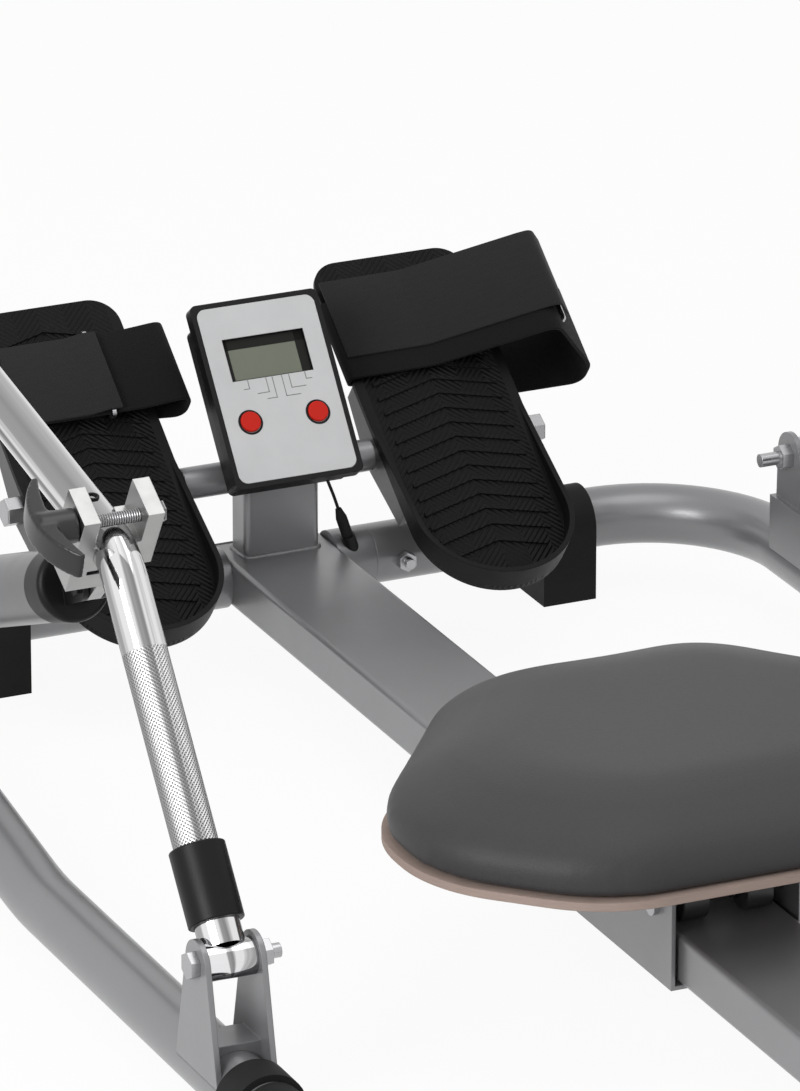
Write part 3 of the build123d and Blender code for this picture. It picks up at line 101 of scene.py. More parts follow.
# The rings round the buttons
WELL_RADIUS, WELL_TUBE, WELL_FLATNESS, WELL_RISE = 0.0088, 0.0008, 0.55, 0.0001

# The post's half depth and corners, and the share of a weld bead on the pedal tube
POST_HALF_DEPTH, POST_CORNER, TUBE_BEAD = 0.014, 0.005, 0.8

# The foot straps, drawn across each footplate: to the machine's right, then out of the plate.
# The band is a closed line and its brushed facing an open one, each with the radius of every bend
# and its distance up the plate from the axle
STRAP_EDGE, STRAP_LOW = 0.0641, 0.0081
FACING_SHARE, FACING_THICKNESS = 0.985, 0.0018
STRAPS = (
    {"side": "left", "x": -PLATE_X, "band_at": 0.090, "facing_at": 0.090,
     "band": [(-STRAP_EDGE, STRAP_LOW), (-STRAP_EDGE, 0.0226), (0.010, 0.0224), (0.051, 0.0235),
              (0.0868, 0.0290), (0.0866, 0.0035), (0.050, STRAP_LOW)],
     "band_bends": [0.004, 0.004, 0.02, 0.02, 0.009, 0.009, 0.010],
     "facing": [(-0.060, 0.0246), (0.008, 0.0246), (0.022, 0.0287), (0.032, 0.0287)],
     "facing_bends": [0, 0.02, 0.02, 0]},
    {"side": "right", "x": PLATE_X, "band_at": 0.0905, "facing_at": 0.1075,
     "band": [(-STRAP_EDGE, STRAP_LOW), (-STRAP_EDGE, 0.0177), (0.005, 0.0188), (0.0978, 0.0470),
              (0.1418, -0.0163), (0.1415, -0.0386), (0.0724, -0.0386), (0.050, STRAP_LOW)],
     "band_bends": [0.004, 0.004, 0.03, 0.016, 0.016, 0.015, 0.016, 0.010],
     "facing": [(-0.061, 0.0200), (0.0046, 0.0211), (0.0935, 0.0484), (0.1045, 0.0508),
                (0.1150, 0.0345)],
     "facing_bends": [0, 0.03, 0.020, 0.010, 0]},
)

# The cushion: mesh size, height that stays pinned, frames of the filling and rounds of spreading
CUSHION_VOXEL, PINNED_RIM, FILL_FRAMES, SPREAD_ROUNDS = 0.0055, 0.004, 20, 60

# The camera of the photograph: place, degrees up from straight down, turn and lens in millimetres
CAMERA_PLACE = (-2.6423, AXLE.y - 6.0566, 2.6363)
CAMERA_PITCH, CAMERA_TURN, CAMERA_LENS, CAMERA_SENSOR = 68.796, -24.369, 431.3, 36.0

# The studio: lamps by name, place, size and power, and the strengths of sky and floor
LAMPS = (("key_light", (-2.6, -1.3, 1.5), 1.4, 52.0), ("top_light", (0.4, -0.2, 2.8), 1.8, 16.0))
LAMP_AIM = Vector((0, 0, 0.1))
SKY_STRENGTH, FLOOR_GLOW, FLOOR_SIZE = 0.55, 0.93, 60


# Sizes and colours that a user would change
def length(label, words, default):
    """A length in metres for a property group."""
    return bpy.props.FloatProperty(name=label, description=words, default=default, min=0,
                                   subtype="DISTANCE", unit="LENGTH", precision=4)


def paint(label, words, default):
    """A colour for a property group."""
    return bpy.props.FloatVectorProperty(name=label, description=words, default=default,
                                         subtype="COLOR", size=3, min=0, max=1)


class RowerSizes(bpy.types.PropertyGroup):
    """Sizes of the pieces that dress the frame."""
    plate_tilt: bpy.props.FloatProperty(
        name="Footplate tilt", description="How far the footplates lean back from level",
        default=math.radians(37.0), subtype="ANGLE", unit="ROTATION")
    console_tilt: bpy.props.FloatProperty(
        name="Console tilt", description="How far the console's face leans back from level",
        default=math.radians(52.3), subtype="ANGLE", unit="ROTATION")
    strap_width: length("Strap width", "Width of the woven foot straps", 0.069)
    strap_thickness: length("Strap thickness", "Thickness of one layer of strap", 0.0026)
    cushion_swell: length("Cushion swell", "Most that the seat's cover may move as it fills", 0.006)
    grip_edge: length("Grip edge", "Rounding of the ends of the foam grips", 0.004)
    knob_edge: length("Knob edge", "Rounding of the clamp knobs", 0.0022)
    weld_radius: length("Weld bead", "Radius of the weld beads", 0.0022)
    line_width: length("Printed line", "Width of the leader lines on the console label", 0.0006)


class RowerColours(bpy.types.PropertyGroup):
    """Colours of the finishes."""
    frame_paint: paint("Frame paint", "Silver grey powder paint", (0.235, 0.236, 0.243))
    chrome: paint("Chrome", "Bright plate of the arms", (0.80, 0.80, 0.81))
    zinc: paint("Zinc", "Clamp jaws", (0.40, 0.40, 0.395))
    steel: paint("Steel", "Bolts, nuts and rings", (0.42, 0.42, 0.43))
    black_plastic: paint("Black plastic", "Moulded caps and console shell", (0.006, 0.006, 0.0065))
    footplate: paint("Footplate", "Moulded soles", (0.0045, 0.0045, 0.0048))
    strap: paint("Strap", "Woven band", (0.008, 0.008, 0.0085))
    strap_felt: paint("Strap facing", "Brushed face of the fastening layer", (0.021, 0.021, 0.022))
    foam: paint("Foam", "Grip foam", (0.016, 0.016, 0.017))
    vinyl: paint("Vinyl", "Seat cover", (0.040, 0.039, 0.0405))
    board: paint("Seat board", "Edge of the board under the cushion", (0.38, 0.29, 0.25))
    label: paint("Console label", "Light grey printed face", (0.575, 0.58, 0.585))
    label_print: paint("Label print", "Grey of the leader lines", (0.23, 0.23, 0.235))
    screen: paint("Screen", "Unlit liquid crystal", (0.115, 0.130, 0.088))
    button: paint("Button", "Red caps", (0.56, 0.018, 0.010))


# Directions and colours by plain arithmetic
def leaned(angle):
    """The directions up a plane that climbs towards the front by an angle, and out of it."""
    return (Vector((0, math.cos(angle), math.sin(angle))),
            Vector((0, -math.sin(angle), math.cos(angle))))


def scaled(colour, share):
    """A colour at a share of its brightness."""
    return tuple(c * share for c in colour)


# Shader maths as plain arithmetic
class Value:
    """A number in a node tree that adds its Math nodes as it is used."""

    def __init__(self, tree, socket):
        self.tree, self.socket = tree, socket

    def math(self, operation, *others):
        return self.tree.add("ShaderNodeMath", {"operation": operation}, {
            place: other for place, other in enumerate((self,) + others)})

    def __add__(self, other):
        return self.math("ADD", other)

    def __sub__(self, other):
        return self.math("SUBTRACT", other)

    def __mul__(self, other):
        return self.math("MULTIPLY", other)

    def __truediv__(self, other):
        return self.math("DIVIDE", other)

    def __rsub__(self, other):
        return self * -1 + other

    def __lt__(self, other):
        return self.math("LESS_THAN", other)

    def __gt__(self, other):
        return self.math("GREATER_THAN", other)

    __radd__, __rmul__ = __add__, __mul__

    def spread(self, low, high):
        """A 0 to 1 value over a range."""
        return self * (high - low) + low

    def wave(self, pitch):
        """A sine between -1 and 1 that repeats at a pitch."""
        return (self * (math.tau / pitch)).math("SINE")

    def ripple(self, pitch):
        """The same between 0 and 1."""
        return self.wave(pitch) * 0.5 + 0.5


class Tree:
    """A node tree under construction."""

    def __init__(self, node_tree):
        self.nodes, self.links = node_tree.nodes, node_tree.links

    def put(self, socket, value):
        if isinstance(value, Value):
            self.links.new(value.socket, socket)
        elif hasattr(value, "__len__") and len(value) == 3 and socket.type == "RGBA":
            socket.default_value = (*value, 1)
        else:
            socket.default_value = value

    def add(self, kind, settings=None, sockets=None, out=0):
        """Adds any node: its type, its settings, then the values or links of its sockets."""
        node = self.nodes.new(kind)
        for name, value in (settings or {}).items():
            if name == "stops":
                ramp = node.color_ramp.elements
                while len(ramp) < len(value):
                    ramp.new(0.5)
                for stop, (place, colour) in zip(ramp, value):
                    stop.position, stop.color = place, (*colour, 1)
            else:
                setattr(node, name, value)
        for name, value in (sockets or {}).items():
            self.put(node.inputs[name], value)
        return Value(self, node.outputs[out])

    def direct_rays(self):
        """1 for camera, glossy and transmission rays, and 0 for the light that fills the scene."""
        path = self.nodes.new("ShaderNodeLightPath")
        camera, glossy, passed = (Value(self, path.outputs[f"Is {ray} Ray"])
                                  for ray in ("Camera", "Glossy", "Transmission"))
        return camera.math("MAXIMUM", glossy).math("MAXIMUM", passed)

    def end_in_mix(self, output, factor, first, second):
        """Ends the tree in a mix of two shaders."""
        mixed = self.add("ShaderNodeMixShader", None, {0: factor, 1: first, 2: second})
        self.put(self.nodes[output].inputs["Surface"], mixed)


class Look(Tree):
    """One material under construction."""

    def __init__(self, name, **fixed):
        self.material = bpy.data.materials.new(name)
        self.material.use_nodes = True
        super().__init__(self.material.node_tree)
        self.shader = self.nodes["Principled BSDF"]
        self.set(**fixed)

    def set(self, **sockets):
        """Sets the shader's own sockets, named with underscores for spaces."""
        for name, value in sockets.items():
            self.put(self.shader.inputs[name.replace("_", " ")], value)
        return self

    def place(self):
        return self.add("ShaderNodeTexCoord", out=3)

    def axis(self, vector, number):
        return self.add("ShaderNodeSeparateXYZ", None, {0: vector}, out=number)

    def along(self, direction, origin):
        """How far a point of the piece lies along a direction from an origin."""
        moved = self.add("ShaderNodeVectorMath", {"operation": "SUBTRACT"},
                         {0: self.place(), 1: tuple(origin)})
        return self.add("ShaderNodeVectorMath", {"operation": "DOT_PRODUCT"},
                        {0: moved, 1: tuple(direction)}, out="Value")

    def stretched(self, vector, scales):
        return self.add("ShaderNodeMapping", None, {"Vector": vector, "Scale": scales})

    def noise(self, scale, detail=3.0, vector=None):
        return self.add("ShaderNodeTexNoise", None, {
            "Vector": vector or self.place(), "Scale": scale, "Detail": detail,
            "Roughness": 0.55})

    def blend(self, factor, first, second):
        return self.add("ShaderNodeMix", {"data_type": "RGBA"}, {0: factor, 6: first, 7: second},
                        out=2)

    def bump(self, height, distance, edge=0.0007):
        """Relief from a height in 0 to 1, over edges softened to a radius; gives the material."""
        sockets = {"Height": height, "Distance": distance, "Strength": 1.0}
        if edge:
            sockets["Normal"] = self.add("ShaderNodeBevel", {"samples": 4}, {"Radius": edge})
        return self.set(Normal=self.add("ShaderNodeBump", None, sockets)).material


def tinted(look, colour, amount, scale):
    """A colour that drifts a little over the surface."""
    light = tuple(min(1, c * (1 + amount)) for c in colour)
    return look.blend(look.noise(scale), scaled(colour, 1 - amount), light)


def painted(name, colour):
    look = Look(name, Metallic=0.45, Coat_Weight=0.25, Coat_Roughness=0.18)
    look.set(Base_Color=tinted(look, colour, 0.05, 14.0),
             Roughness=look.noise(35.0).spread(0.30, 0.40))
    return look.bump(look.noise(900.0, 2.0), 0.00006, 0.0012)


def plated(name, colour, rough):
    look = Look(name, Metallic=1.0)
    look.set(Base_Color=tinted(look, colour, 0.05, 30.0),
             Roughness=look.noise(90.0).spread(rough * 0.7, rough * 1.4))
    return look.bump(look.noise(500.0), 0.00003)


def moulded(name, colour, rough, grain_scale, grain_depth, shine=0.5):
    look = Look(name, Specular_IOR_Level=shine)
    look.set(Base_Color=tinted(look, colour, 0.12, 22.0),
             Roughness=look.noise(60.0).spread(rough - 0.06, rough + 0.06))
    return look.bump(look.noise(grain_scale, 2.0), grain_depth)


def chromed_arm(name, colour):
    """Chrome with painted reflections, light and dark bands along each leg, and a knurl between the
    sleeve and the bend with painted shade in its grooves.
    """
    look = Look(name, Metallic=1.0)
    run, upper = (ARM_KNEE - ARM_PIVOT).normalized(), leaned(ARM_LEAN)[0]
    out = look.axis(look.place(), 0).math("ABSOLUTE") - ARM_X
    climb = look.along(run, ARM_PIVOT)
    above = look.along(upper, ARM_KNEE) > 0.0
    angles, reflection_ramps = [], []
    # Painted reflection: light and dark bands by the turn round each leg, fixed to the arm and
    # wobbled by a streak of noise
    for way, start, stops in ((run, ARM_PIVOT, LOWER_REFLECTIONS), (upper, ARM_KNEE, UPPER_REFLECTIONS)):
        angle = out.math("ARCTAN2", look.along(Vector((0, -way.z, way.y)), start))
        wander = look.add("ShaderNodeCombineXYZ", None,
                          {0: angle * 2.4, 1: look.along(way, start) * 1.5})
        streak = (look.noise(1.0, 2.0, wander) - 0.5) * 0.16
        reflection_ramps.append(look.add("ShaderNodeValToRGB", {"stops": [
            (place, scaled(colour, share)) for place, share in stops]},
            {0: angle / math.tau + 0.5 + streak}))
        angles.append(angle * ARM_RADIUS)
    first = (climb + angles[0]).wave(KNURL_PITCH)
    second = (climb - angles[0]).wave(KNURL_PITCH)
    zone = (climb > KNURL_START) * (climb < KNURL_END)
    cut = first.math("MAXIMUM", second) * 0.5 + 0.5
    # The painted reflection of the lower leg below the knee, and of the upper leg above it
    painted_reflection = look.blend(above, reflection_ramps[0], reflection_ramps[1])
    # Painted shade: the knurl's grooves are darkened towards a sixth of the chrome's brightness
    look.set(Base_Color=look.blend(zone * (1 - cut) * 0.95, painted_reflection, scaled(colour, 0.16)),
             Roughness=look.noise(40.0).spread(0.05, 0.09) + zone * 0.20)
    return look.bump(cut * zone, KNURL_DEPTH, 0.0)


def threaded(name, colour):
    """Steel with a thread cut round the left-right axis, its grooves darkened as painted shade."""
    look = Look(name, Metallic=1.0, Roughness=0.3)
    turn = look.axis(look.place(), 0).ripple(0.00175)
    # Painted shade: the thread's grooves are darkened to 0.45 of the steel's brightness
    look.set(Base_Color=look.blend(turn, scaled(colour, 0.45), colour))
    return look.bump(turn, 0.0005, 0.0)


def sole(name, colour, lit_side_grey, tilt):
    """Moulded sole with a painted highlight: its lower side walls and axle cheeks are a lighter
    grey, as if lit from the side, told apart by the height over the axle.
    """
    look = Look(name, Specular_IOR_Level=0.12)
    lit_side_top, tread_low, tread_high, tread_half_width = 0.0098, 0.0118, 0.0155, 0.054
    forward, up = leaned(tilt)
    height = look.along(up, AXLE)
    lit_side = height < lit_side_top
    aside = look.axis(look.place(), 0).math("ABSOLUTE") - PLATE_X
    tread = ((height < tread_high) * (height > tread_low)
             * (aside.math("ABSOLUTE") < tread_half_width))
    weave = (look.along(forward, AXLE) + aside.math("PINGPONG", 0.020)).ripple(0.0050)
    black = look.blend(weave * tread * 0.6, tinted(look, colour, 0.15, 18.0),
                       scaled(colour, 0.3))
    # Painted highlight: below the lit side's top the black sole turns the lighter grey of its lit
    # sides, partly metallic and smoother
    look.set(Base_Color=look.blend(lit_side, black, lit_side_grey), Metallic=lit_side * 0.4,
             Roughness=look.noise(70.0).spread(0.42, 0.56) - lit_side * 0.12)
    return look.bump(look.noise(650.0, 2.0) * 0.15 + weave * tread, 0.0006, 0.0009)


def woven(name, colour, pitch, depth, rough=0.86, fuzz=0.05):
    """Cloth with a plain weave that follows the piece's own UV map, in metres, with painted shade
    in the weave's low places.
    """
    look = Look(name, Sheen_Weight=fuzz, Sheen_Roughness=0.5, Specular_IOR_Level=0.12)
    cloth = look.add("ShaderNodeTexCoord", out=2)
    weave = look.axis(cloth, 0).wave(pitch) * look.axis(cloth, 1).wave(pitch) * 0.5 + 0.5
    streak = look.noise(1.0, 3.0, look.stretched(cloth, (60.0, 400.0, 1.0)))
    # The colour is darker in the weave's low places, painted shade, and drifts along its streaks,
    # the cloth's own tone
    look.set(Base_Color=look.blend(weave * 0.55 + streak * 0.45, scaled(colour, 0.62),
                                   scaled(colour, 1.4)),
             Roughness=streak.spread(rough - 0.06, rough + 0.06))
    return look.bump(weave * 0.7 + streak * 0.3, depth, 0.0)


def leathered(name, colour):
    """Vinyl with a fine pebbled grain, painted shade in the grooves between its pebbles, and a soft
    satin face.
    """
    look = Look(name, Sheen_Weight=0.06, Sheen_Roughness=0.4, Specular_IOR_Level=0.3)
    cells = look.add("ShaderNodeTexVoronoi", {"feature": "DISTANCE_TO_EDGE"},
                     {"Vector": look.place(), "Scale": 520.0})
    pebble = (cells * 6.0).math("MINIMUM", 1.0)
    slow = look.noise(5.0, 2.0)
    # Painted shade in the grooves between the pebbles, mixed with a slow drift of the vinyl's own
    # tone
    look.set(Base_Color=look.blend(pebble * 0.35 + slow * 0.65, scaled(colour, 0.86),
                                   scaled(colour, 1.12)),
             Roughness=slow.spread(0.44, 0.54))
    return look.bump(pebble * 0.6 + look.noise(90.0) * 0.4, 0.00011, 0.0)


def boarded(name, colour):
    """Cut edge of fibre board."""
    look = Look(name)
    grain = look.noise(1.0, 4.0, look.stretched(look.place(), (90.0, 90.0, 900.0)))
    look.set(Base_Color=look.blend(grain, scaled(colour, 0.72), colour),
             Roughness=grain.spread(0.62, 0.8))
    return look.bump(grain, 0.0001)


def glazed(name, colour):
    """Liquid crystal behind a clear cover, with its faint cell texture."""
    look = Look(name, Coat_Weight=0.6, Coat_Roughness=0.06)
    look.set(Base_Color=tinted(look, colour, 0.06, 60.0),
             Roughness=look.noise(200.0).spread(0.30, 0.38))
    return look.bump(look.noise(1200.0), 0.00001, 0.0)


def beaded(name, colour):
    """Painted weld with the ripples of its run."""
    look = Look(name, Metallic=0.45, Coat_Weight=0.2, Coat_Roughness=0.2)
    ripples = look.noise(420.0, 2.0)
    look.set(Base_Color=tinted(look, colour, 0.10, 80.0), Roughness=ripples.spread(0.34, 0.46))
    return look.bump(ripples, 0.0006, 0.0)


def circuit(name):
    look = Look(name)
    look.set(Base_Color=look.blend(look.noise(300.0), (0.010, 0.055, 0.022), (0.02, 0.10, 0.04)),
             Roughness=look.noise(90.0).spread(0.35, 0.5))
    return look.bump(look.noise(700.0), 0.0001)


def looks():
    """Every finish by its name, made once."""
    made = bpy.context.scene.get("rower_looks")
    if made:
        return {name: bpy.data.materials[title] for name, title in made.items()}
    c = bpy.context.scene.rower_colours
    s = bpy.context.scene.rower_sizes
    made = {
        "frame_paint": painted("silver_grey_paint", tuple(c.frame_paint)),
        "cylinder_paint": painted("cylinder_grey_paint", (0.10, 0.10, 0.105)),
        "chrome": chromed_arm("chrome_plate", tuple(c.chrome)),
        "rod_chrome": plated("ground_rod", (0.40, 0.40, 0.41), 0.16),
        "zinc": plated("zinc_plate", tuple(c.zinc), 0.34),
        "steel": plated("bright_steel", tuple(c.steel), 0.28),
        "thread": threaded("rolled_thread", tuple(c.steel)),
        "black_plastic": moulded("black_moulding", tuple(c.black_plastic), 0.40, 800.0, 0.00007,
                                 shine=0.18),
        "knob_plastic": moulded("knob_moulding", (0.011, 0.011, 0.0115), 0.30, 500.0, 0.00003),
        # Near-black finish of the painted shadow in the display's recess
        "window_shade": moulded("painted_window_shadow", (0.010, 0.010, 0.009), 0.5, 500.0, 0.00001,
                            shine=0.15),
        "black_rubber": moulded("black_rubber", (0.009, 0.009, 0.009), 0.66, 600.0, 0.0001,
                                shine=0.2),
        # The lighter grey of the soles' painted highlight on their lit side walls
        "footplate_plastic": sole("footplate_moulding", tuple(c.footplate), (0.12, 0.118, 0.12),
                                  s.plate_tilt),
        "strap_web": woven("strap_weave", tuple(c.strap), 0.0016, 0.00025),
        "strap_felt": woven("strap_brushed_face", tuple(c.strap_felt), 0.0022, 0.00018, 0.92, 0.12),
        "foam": moulded("grip_foam", tuple(c.foam), 0.86, 420.0, 0.0004, shine=0.15),
        "label": moulded("label_film", tuple(c.label), 0.34, 500.0, 0.00001),
        "label_print": moulded("label_ink", tuple(c.label_print), 0.5, 500.0, 0.00001),
        "screen": glazed("screen_cell", tuple(c.screen)),
        "board": circuit("circuit_board"),
        "button_red": moulded("button_red", tuple(c.button), 0.42, 400.0, 0.00002, shine=0.15),
        "vinyl": leathered("seat_vinyl", tuple(c.vinyl)),
        "base_board": boarded("fibre_board", tuple(c.board)),
        "roller_plastic": moulded("roller_nylon", (0.03, 0.03, 0.031), 0.38, 500.0, 0.00005),
        "weld": beaded("painted_weld", tuple(c.frame_paint)),
    }
    bpy.context.scene["rower_looks"] = {name: look.name for name, look in made.items()}
    return made


# Helpers that work as by hand
def nothing_selected():
    if bpy.context.object and bpy.context.object.mode != "OBJECT":
        bpy.ops.object.mode_set(mode="OBJECT")
    bpy.ops.object.select_all(action="DESELECT")


def only(piece):
    nothing_selected()
    piece.select_set(True)
    bpy.context.view_layer.objects.active = piece
    return piece


def edit_all(piece):
    """Enters edit mode with the whole of a piece selected."""
    only(piece)
    bpy.ops.object.mode_set(mode="EDIT")
    bpy.ops.mesh.select_all(action="SELECT")


def new_piece(name):
    """Names the primitive that was just added."""
    piece = bpy.context.object
    piece.name = piece.data.name = name
    return piece


def settle(piece):
    """Puts the piece's place into its mesh."""
    only(piece)
    bpy.ops.object.transform_apply(location=True, rotation=True, scale=True)
    return piece


def modify(piece, kind, **settings):
    """Adds one modifier and applies it."""
    only(piece)
    modifier = piece.modifiers.new(kind.title(), kind)
    for name, value in settings.items():
        setattr(modifier, name, value)
    bpy.ops.object.modifier_apply(modifier=modifier.name)
    return piece


def bevel(piece, width, segments, degrees):
    """Rounds the edges that are sharper than an angle."""
    return modify(piece, "BEVEL", width=width, segments=segments, limit_method="ANGLE",
                  angle_limit=math.radians(degrees))


def remeshed(piece, voxel, rounds):
    """Rebuilds a piece in even faces and smooths it."""
    modify(piece, "REMESH", mode="VOXEL", voxel_size=voxel)
    return modify(piece, "SMOOTH", factor=0.5, iterations=rounds)


def soften(piece):
    """Shades a piece smooth all over."""
    only(piece)
    bpy.ops.object.shade_smooth()
    return piece


def smooth(piece, degrees):
    """Shades a piece smooth but for the edges sharper than an angle."""
    only(piece)
    bpy.ops.object.shade_smooth_by_angle(angle=math.radians(degrees))
    return piece


def hand_over(piece, look, body, slot, *nodes):
    """Gives a finished piece its finish, its body and the nodes it stands for."""
    piece.data.materials.clear()
    piece.data.materials.append(looks()[look])
    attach(piece, body)
    if nodes:
        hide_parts(*nodes)
    return piece


def copy_of(node, name):
    """A merged copy of a node's mesh as a new piece."""
    source = frame["nodes"][node]
    piece = bpy.data.objects.new(name, source.data.copy())
    piece.data.name = name
    bpy.context.scene.collection.objects.link(piece)
    piece.matrix_world = source.matrix_world.copy()
    edit_all(settle(piece))
    bpy.ops.mesh.remove_doubles(threshold=MERGED)
    bpy.ops.mesh.normals_make_consistent(inside=False)
    bpy.ops.object.mode_set(mode="OBJECT")
    return piece


def joined(name, parts):
    """Several pieces as one."""
    nothing_selected()
    for part in parts:
        part.select_set(True)
    bpy.context.view_layer.objects.active = parts[0]
    bpy.ops.object.join()
    return new_piece(name)


def evened(piece, moves, rounds):
    """Spreads each vertex's move over its neighbours, so that a filled cover has no creases."""
    count = len(moves)
    for _ in range(rounds):
        sums, met = [Vector() for _ in range(count)], [0] * count
        for edge in piece.data.edges:
            a, b = edge.vertices
            sums[a] += moves[b]
            sums[b] += moves[a]
            met[a] += 1
            met[b] += 1
        moves = [m.lerp(total / max(n, 1), 0.7) for m, total, n in zip(moves, sums, met)]
    return moves


def framed(origin, right, up):
    """The matrix that stands a flat drawing at an origin, by its right and up directions."""
    turned = Matrix((right, up, right.cross(up))).transposed().to_4x4()
    return Matrix.Translation(origin) @ turned


def bars(name, up, rows):
    """Flat bars as one piece, from rows of a middle and its sizes across, up and through."""
    parts = []
    for middle, sizes in rows:
        nothing_selected()
        bpy.ops.mesh.primitive_cube_add(size=1)
        part = bpy.context.object
        part.matrix_world = framed(middle, RIGHT, up) @ Matrix.Diagonal((*sizes, 1))
        parts.append(settle(part))
    return joined(name, parts)


def rounded(corners, radii, closed, steps=7):
    """The points of a polyline with its corners rounded, each by its own radius."""
    points, count = [], len(corners)
    for number, corner in enumerate(corners):
        here = Vector(corner)
        if not closed and number in (0, count - 1):
            points.append(here)
            continue
        back = Vector(corners[number - 1]) - here
        ahead = Vector(corners[(number + 1) % count]) - here
        half = back.angle(ahead) / 2
        reach = min(radii[number] / math.tan(half), back.length * 0.48, ahead.length * 0.48)
        start, end = here + back.normalized() * reach, here + ahead.normalized() * reach
        for step in range(steps + 1):
            share = step / steps
            points.append(start.lerp(here, share).lerp(here.lerp(end, share), share))
    return points


def drawn(name, dimensions, points, closed):
    """A curve of straight steps through points."""
    nothing_selected()
    bpy.ops.curve.primitive_nurbs_path_add()
    piece = new_piece(name)
    piece.data.dimensions = dimensions
    piece.data.splines.clear()
    line = piece.data.splines.new("POLY")
    line.points.add(len(points) - 1)
    for place, point in zip(line.points, points):
        place.co = (*Vector(point).to_3d(), 1)
    line.use_cyclic_u = closed
    return piece


def meshed(curve_piece):
    """The mesh of a curve."""
    only(curve_piece)
    bpy.ops.object.convert(target="MESH")
    return bpy.context.object


def band(name, matrix, points, closed, width, thickness):
    """A strap from a flat line of points: a ribbon that is thickened and has soft edges."""
    ribbon = drawn(name, "2D", points, closed)
    ribbon.data.fill_mode = "NONE"
    ribbon.data.extrude = width / 2
    piece = meshed(ribbon)
    edit_all(piece)
    bpy.ops.mesh.remove_doubles(threshold=MERGED)
    bpy.ops.mesh.subdivide(number_cuts=1)
    bpy.ops.object.mode_set(mode="OBJECT")
    modify(piece, "SOLIDIFY", thickness=thickness, offset=0, use_even_offset=True)
    bevel(piece, thickness * 0.3, 2, 50)
    lay_weave(piece, points, closed)
    piece.matrix_world = matrix
    edit_all(settle(piece))
    bpy.ops.mesh.normals_make_consistent(inside=False)
    bpy.ops.object.mode_set(mode="OBJECT")
    return smooth(piece, 40.0)


def lay_weave(piece, points, closed):
    """Writes a UV map in metres: along the line of points, and across it."""
    ends = points[1:] + points[:1] if closed else points[1:]
    runs, gone = [], 0.0
    for start, end in zip(points, ends):
        runs.append((start, end - start, gone))
        gone += (end - start).length
    places = []
    for vertex in piece.data.vertices:
        here, best = vertex.co.to_2d(), None
        for start, step, before in runs:
            share = max(0.0, min(1.0, (here - start).dot(step) / max(step.length_squared, 1e-12)))
            miss = (here - start - step * share).length_squared
            if best is None or miss < best[0]:
                best = (miss, before + step.length * share)
        places.append((best[1], vertex.co.z))
    weave = piece.data.uv_layers.active or piece.data.uv_layers.new(name="weave")
    for loop in piece.data.loops:
        weave.data[loop.index].uv = places[loop.vertex_index]


def bead(name, points, radius):
    """A closed weld bead along points."""
    piece = drawn(name, "3D", points, True)
    piece.data.bevel_depth = radius
    piece.data.bevel_resolution = 3
    return smooth(settle(meshed(piece)), 60.0)


# The operators, one for each piece or group of like pieces
class ROWER_OT_finishes(bpy.types.Operator):
    """Gives every carried-over node its finish"""
    bl_idname = "rower.finishes"
    bl_label = "Finishes of the frame"

    def execute(self, context):
        slots = {row["node"]: row["material_slot"] for row in frame["record"]["subparts"]}
        made = looks()
        for node, piece in frame["nodes"].items():
            look = slots[node]
            if node.startswith("clamp_bolt"):
                look = "thread"
            elif node.startswith("piston_rod"):
                look = "rod_chrome"
            if not piece.material_slots:
                piece.data.materials.append(made[look])
            for place in piece.material_slots:
                place.material = made[look]
        return {"FINISHED"}


class ROWER_OT_cushion(bpy.types.Operator):
    """Fills the seat's cover by a cloth simulation and leaves it flat on its board"""
    bl_idname = "rower.cushion"
    bl_label = "Seat cushion"

    def execute(self, context):
        piece = copy_of("seat_pad", "seat_cushion")
        board_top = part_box("seat_pad")[0].z
        remeshed(piece, CUSHION_VOXEL, 5)
        self.fill(context, piece, board_top)
        modify(piece, "SMOOTH", factor=0.5, iterations=4)
        for vertex in piece.data.vertices:
            vertex.co.z = max(vertex.co.z, board_top)
        modify(piece, "SUBSURF", levels=1, render_levels=1)
        hand_over(soften(piece), "vinyl", "seat", "vinyl", "seat_pad")
        return {"FINISHED"}

    def fill(self, context, piece, board_top):
        """Presses the cover out by a limited, even amount, with its lower rim pinned."""
        swell = context.scene.rower_sizes.cushion_swell
        start = [vertex.co.copy() for vertex in piece.data.vertices]
        held = piece.vertex_groups.new(name="held")
        rim = [v.index for v in piece.data.vertices if v.co.z < board_top + PINNED_RIM]
        held.add(rim, 1.0, "REPLACE")
        cloth = piece.modifiers.new("Cloth", "CLOTH")
        cloth.settings.quality = 4
        cloth.settings.mass = 0.3
        cloth.settings.tension_stiffness = cloth.settings.compression_stiffness = 12.0
        cloth.settings.bending_stiffness = 2.0
        cloth.settings.use_pressure = True
        cloth.settings.uniform_pressure_force = 4.0
        cloth.settings.effector_weights.gravity = 0.0
        cloth.settings.vertex_group_mass = "held"
        for step in range(1, FILL_FRAMES + 1):
            context.scene.frame_set(step)
        only(piece)
        bpy.ops.object.modifier_apply(modifier="Cloth")
        context.scene.frame_set(1)
        moves = [vertex.co - rest for vertex, rest in zip(piece.data.vertices, start)]
        moves = [m * min(1.0, swell / max(m.length, 1e-9)) for m in moves]
        moves = evened(piece, moves, SPREAD_ROUNDS)
        for vertex, rest, move in zip(piece.data.vertices, start, moves):
            vertex.co = rest + move


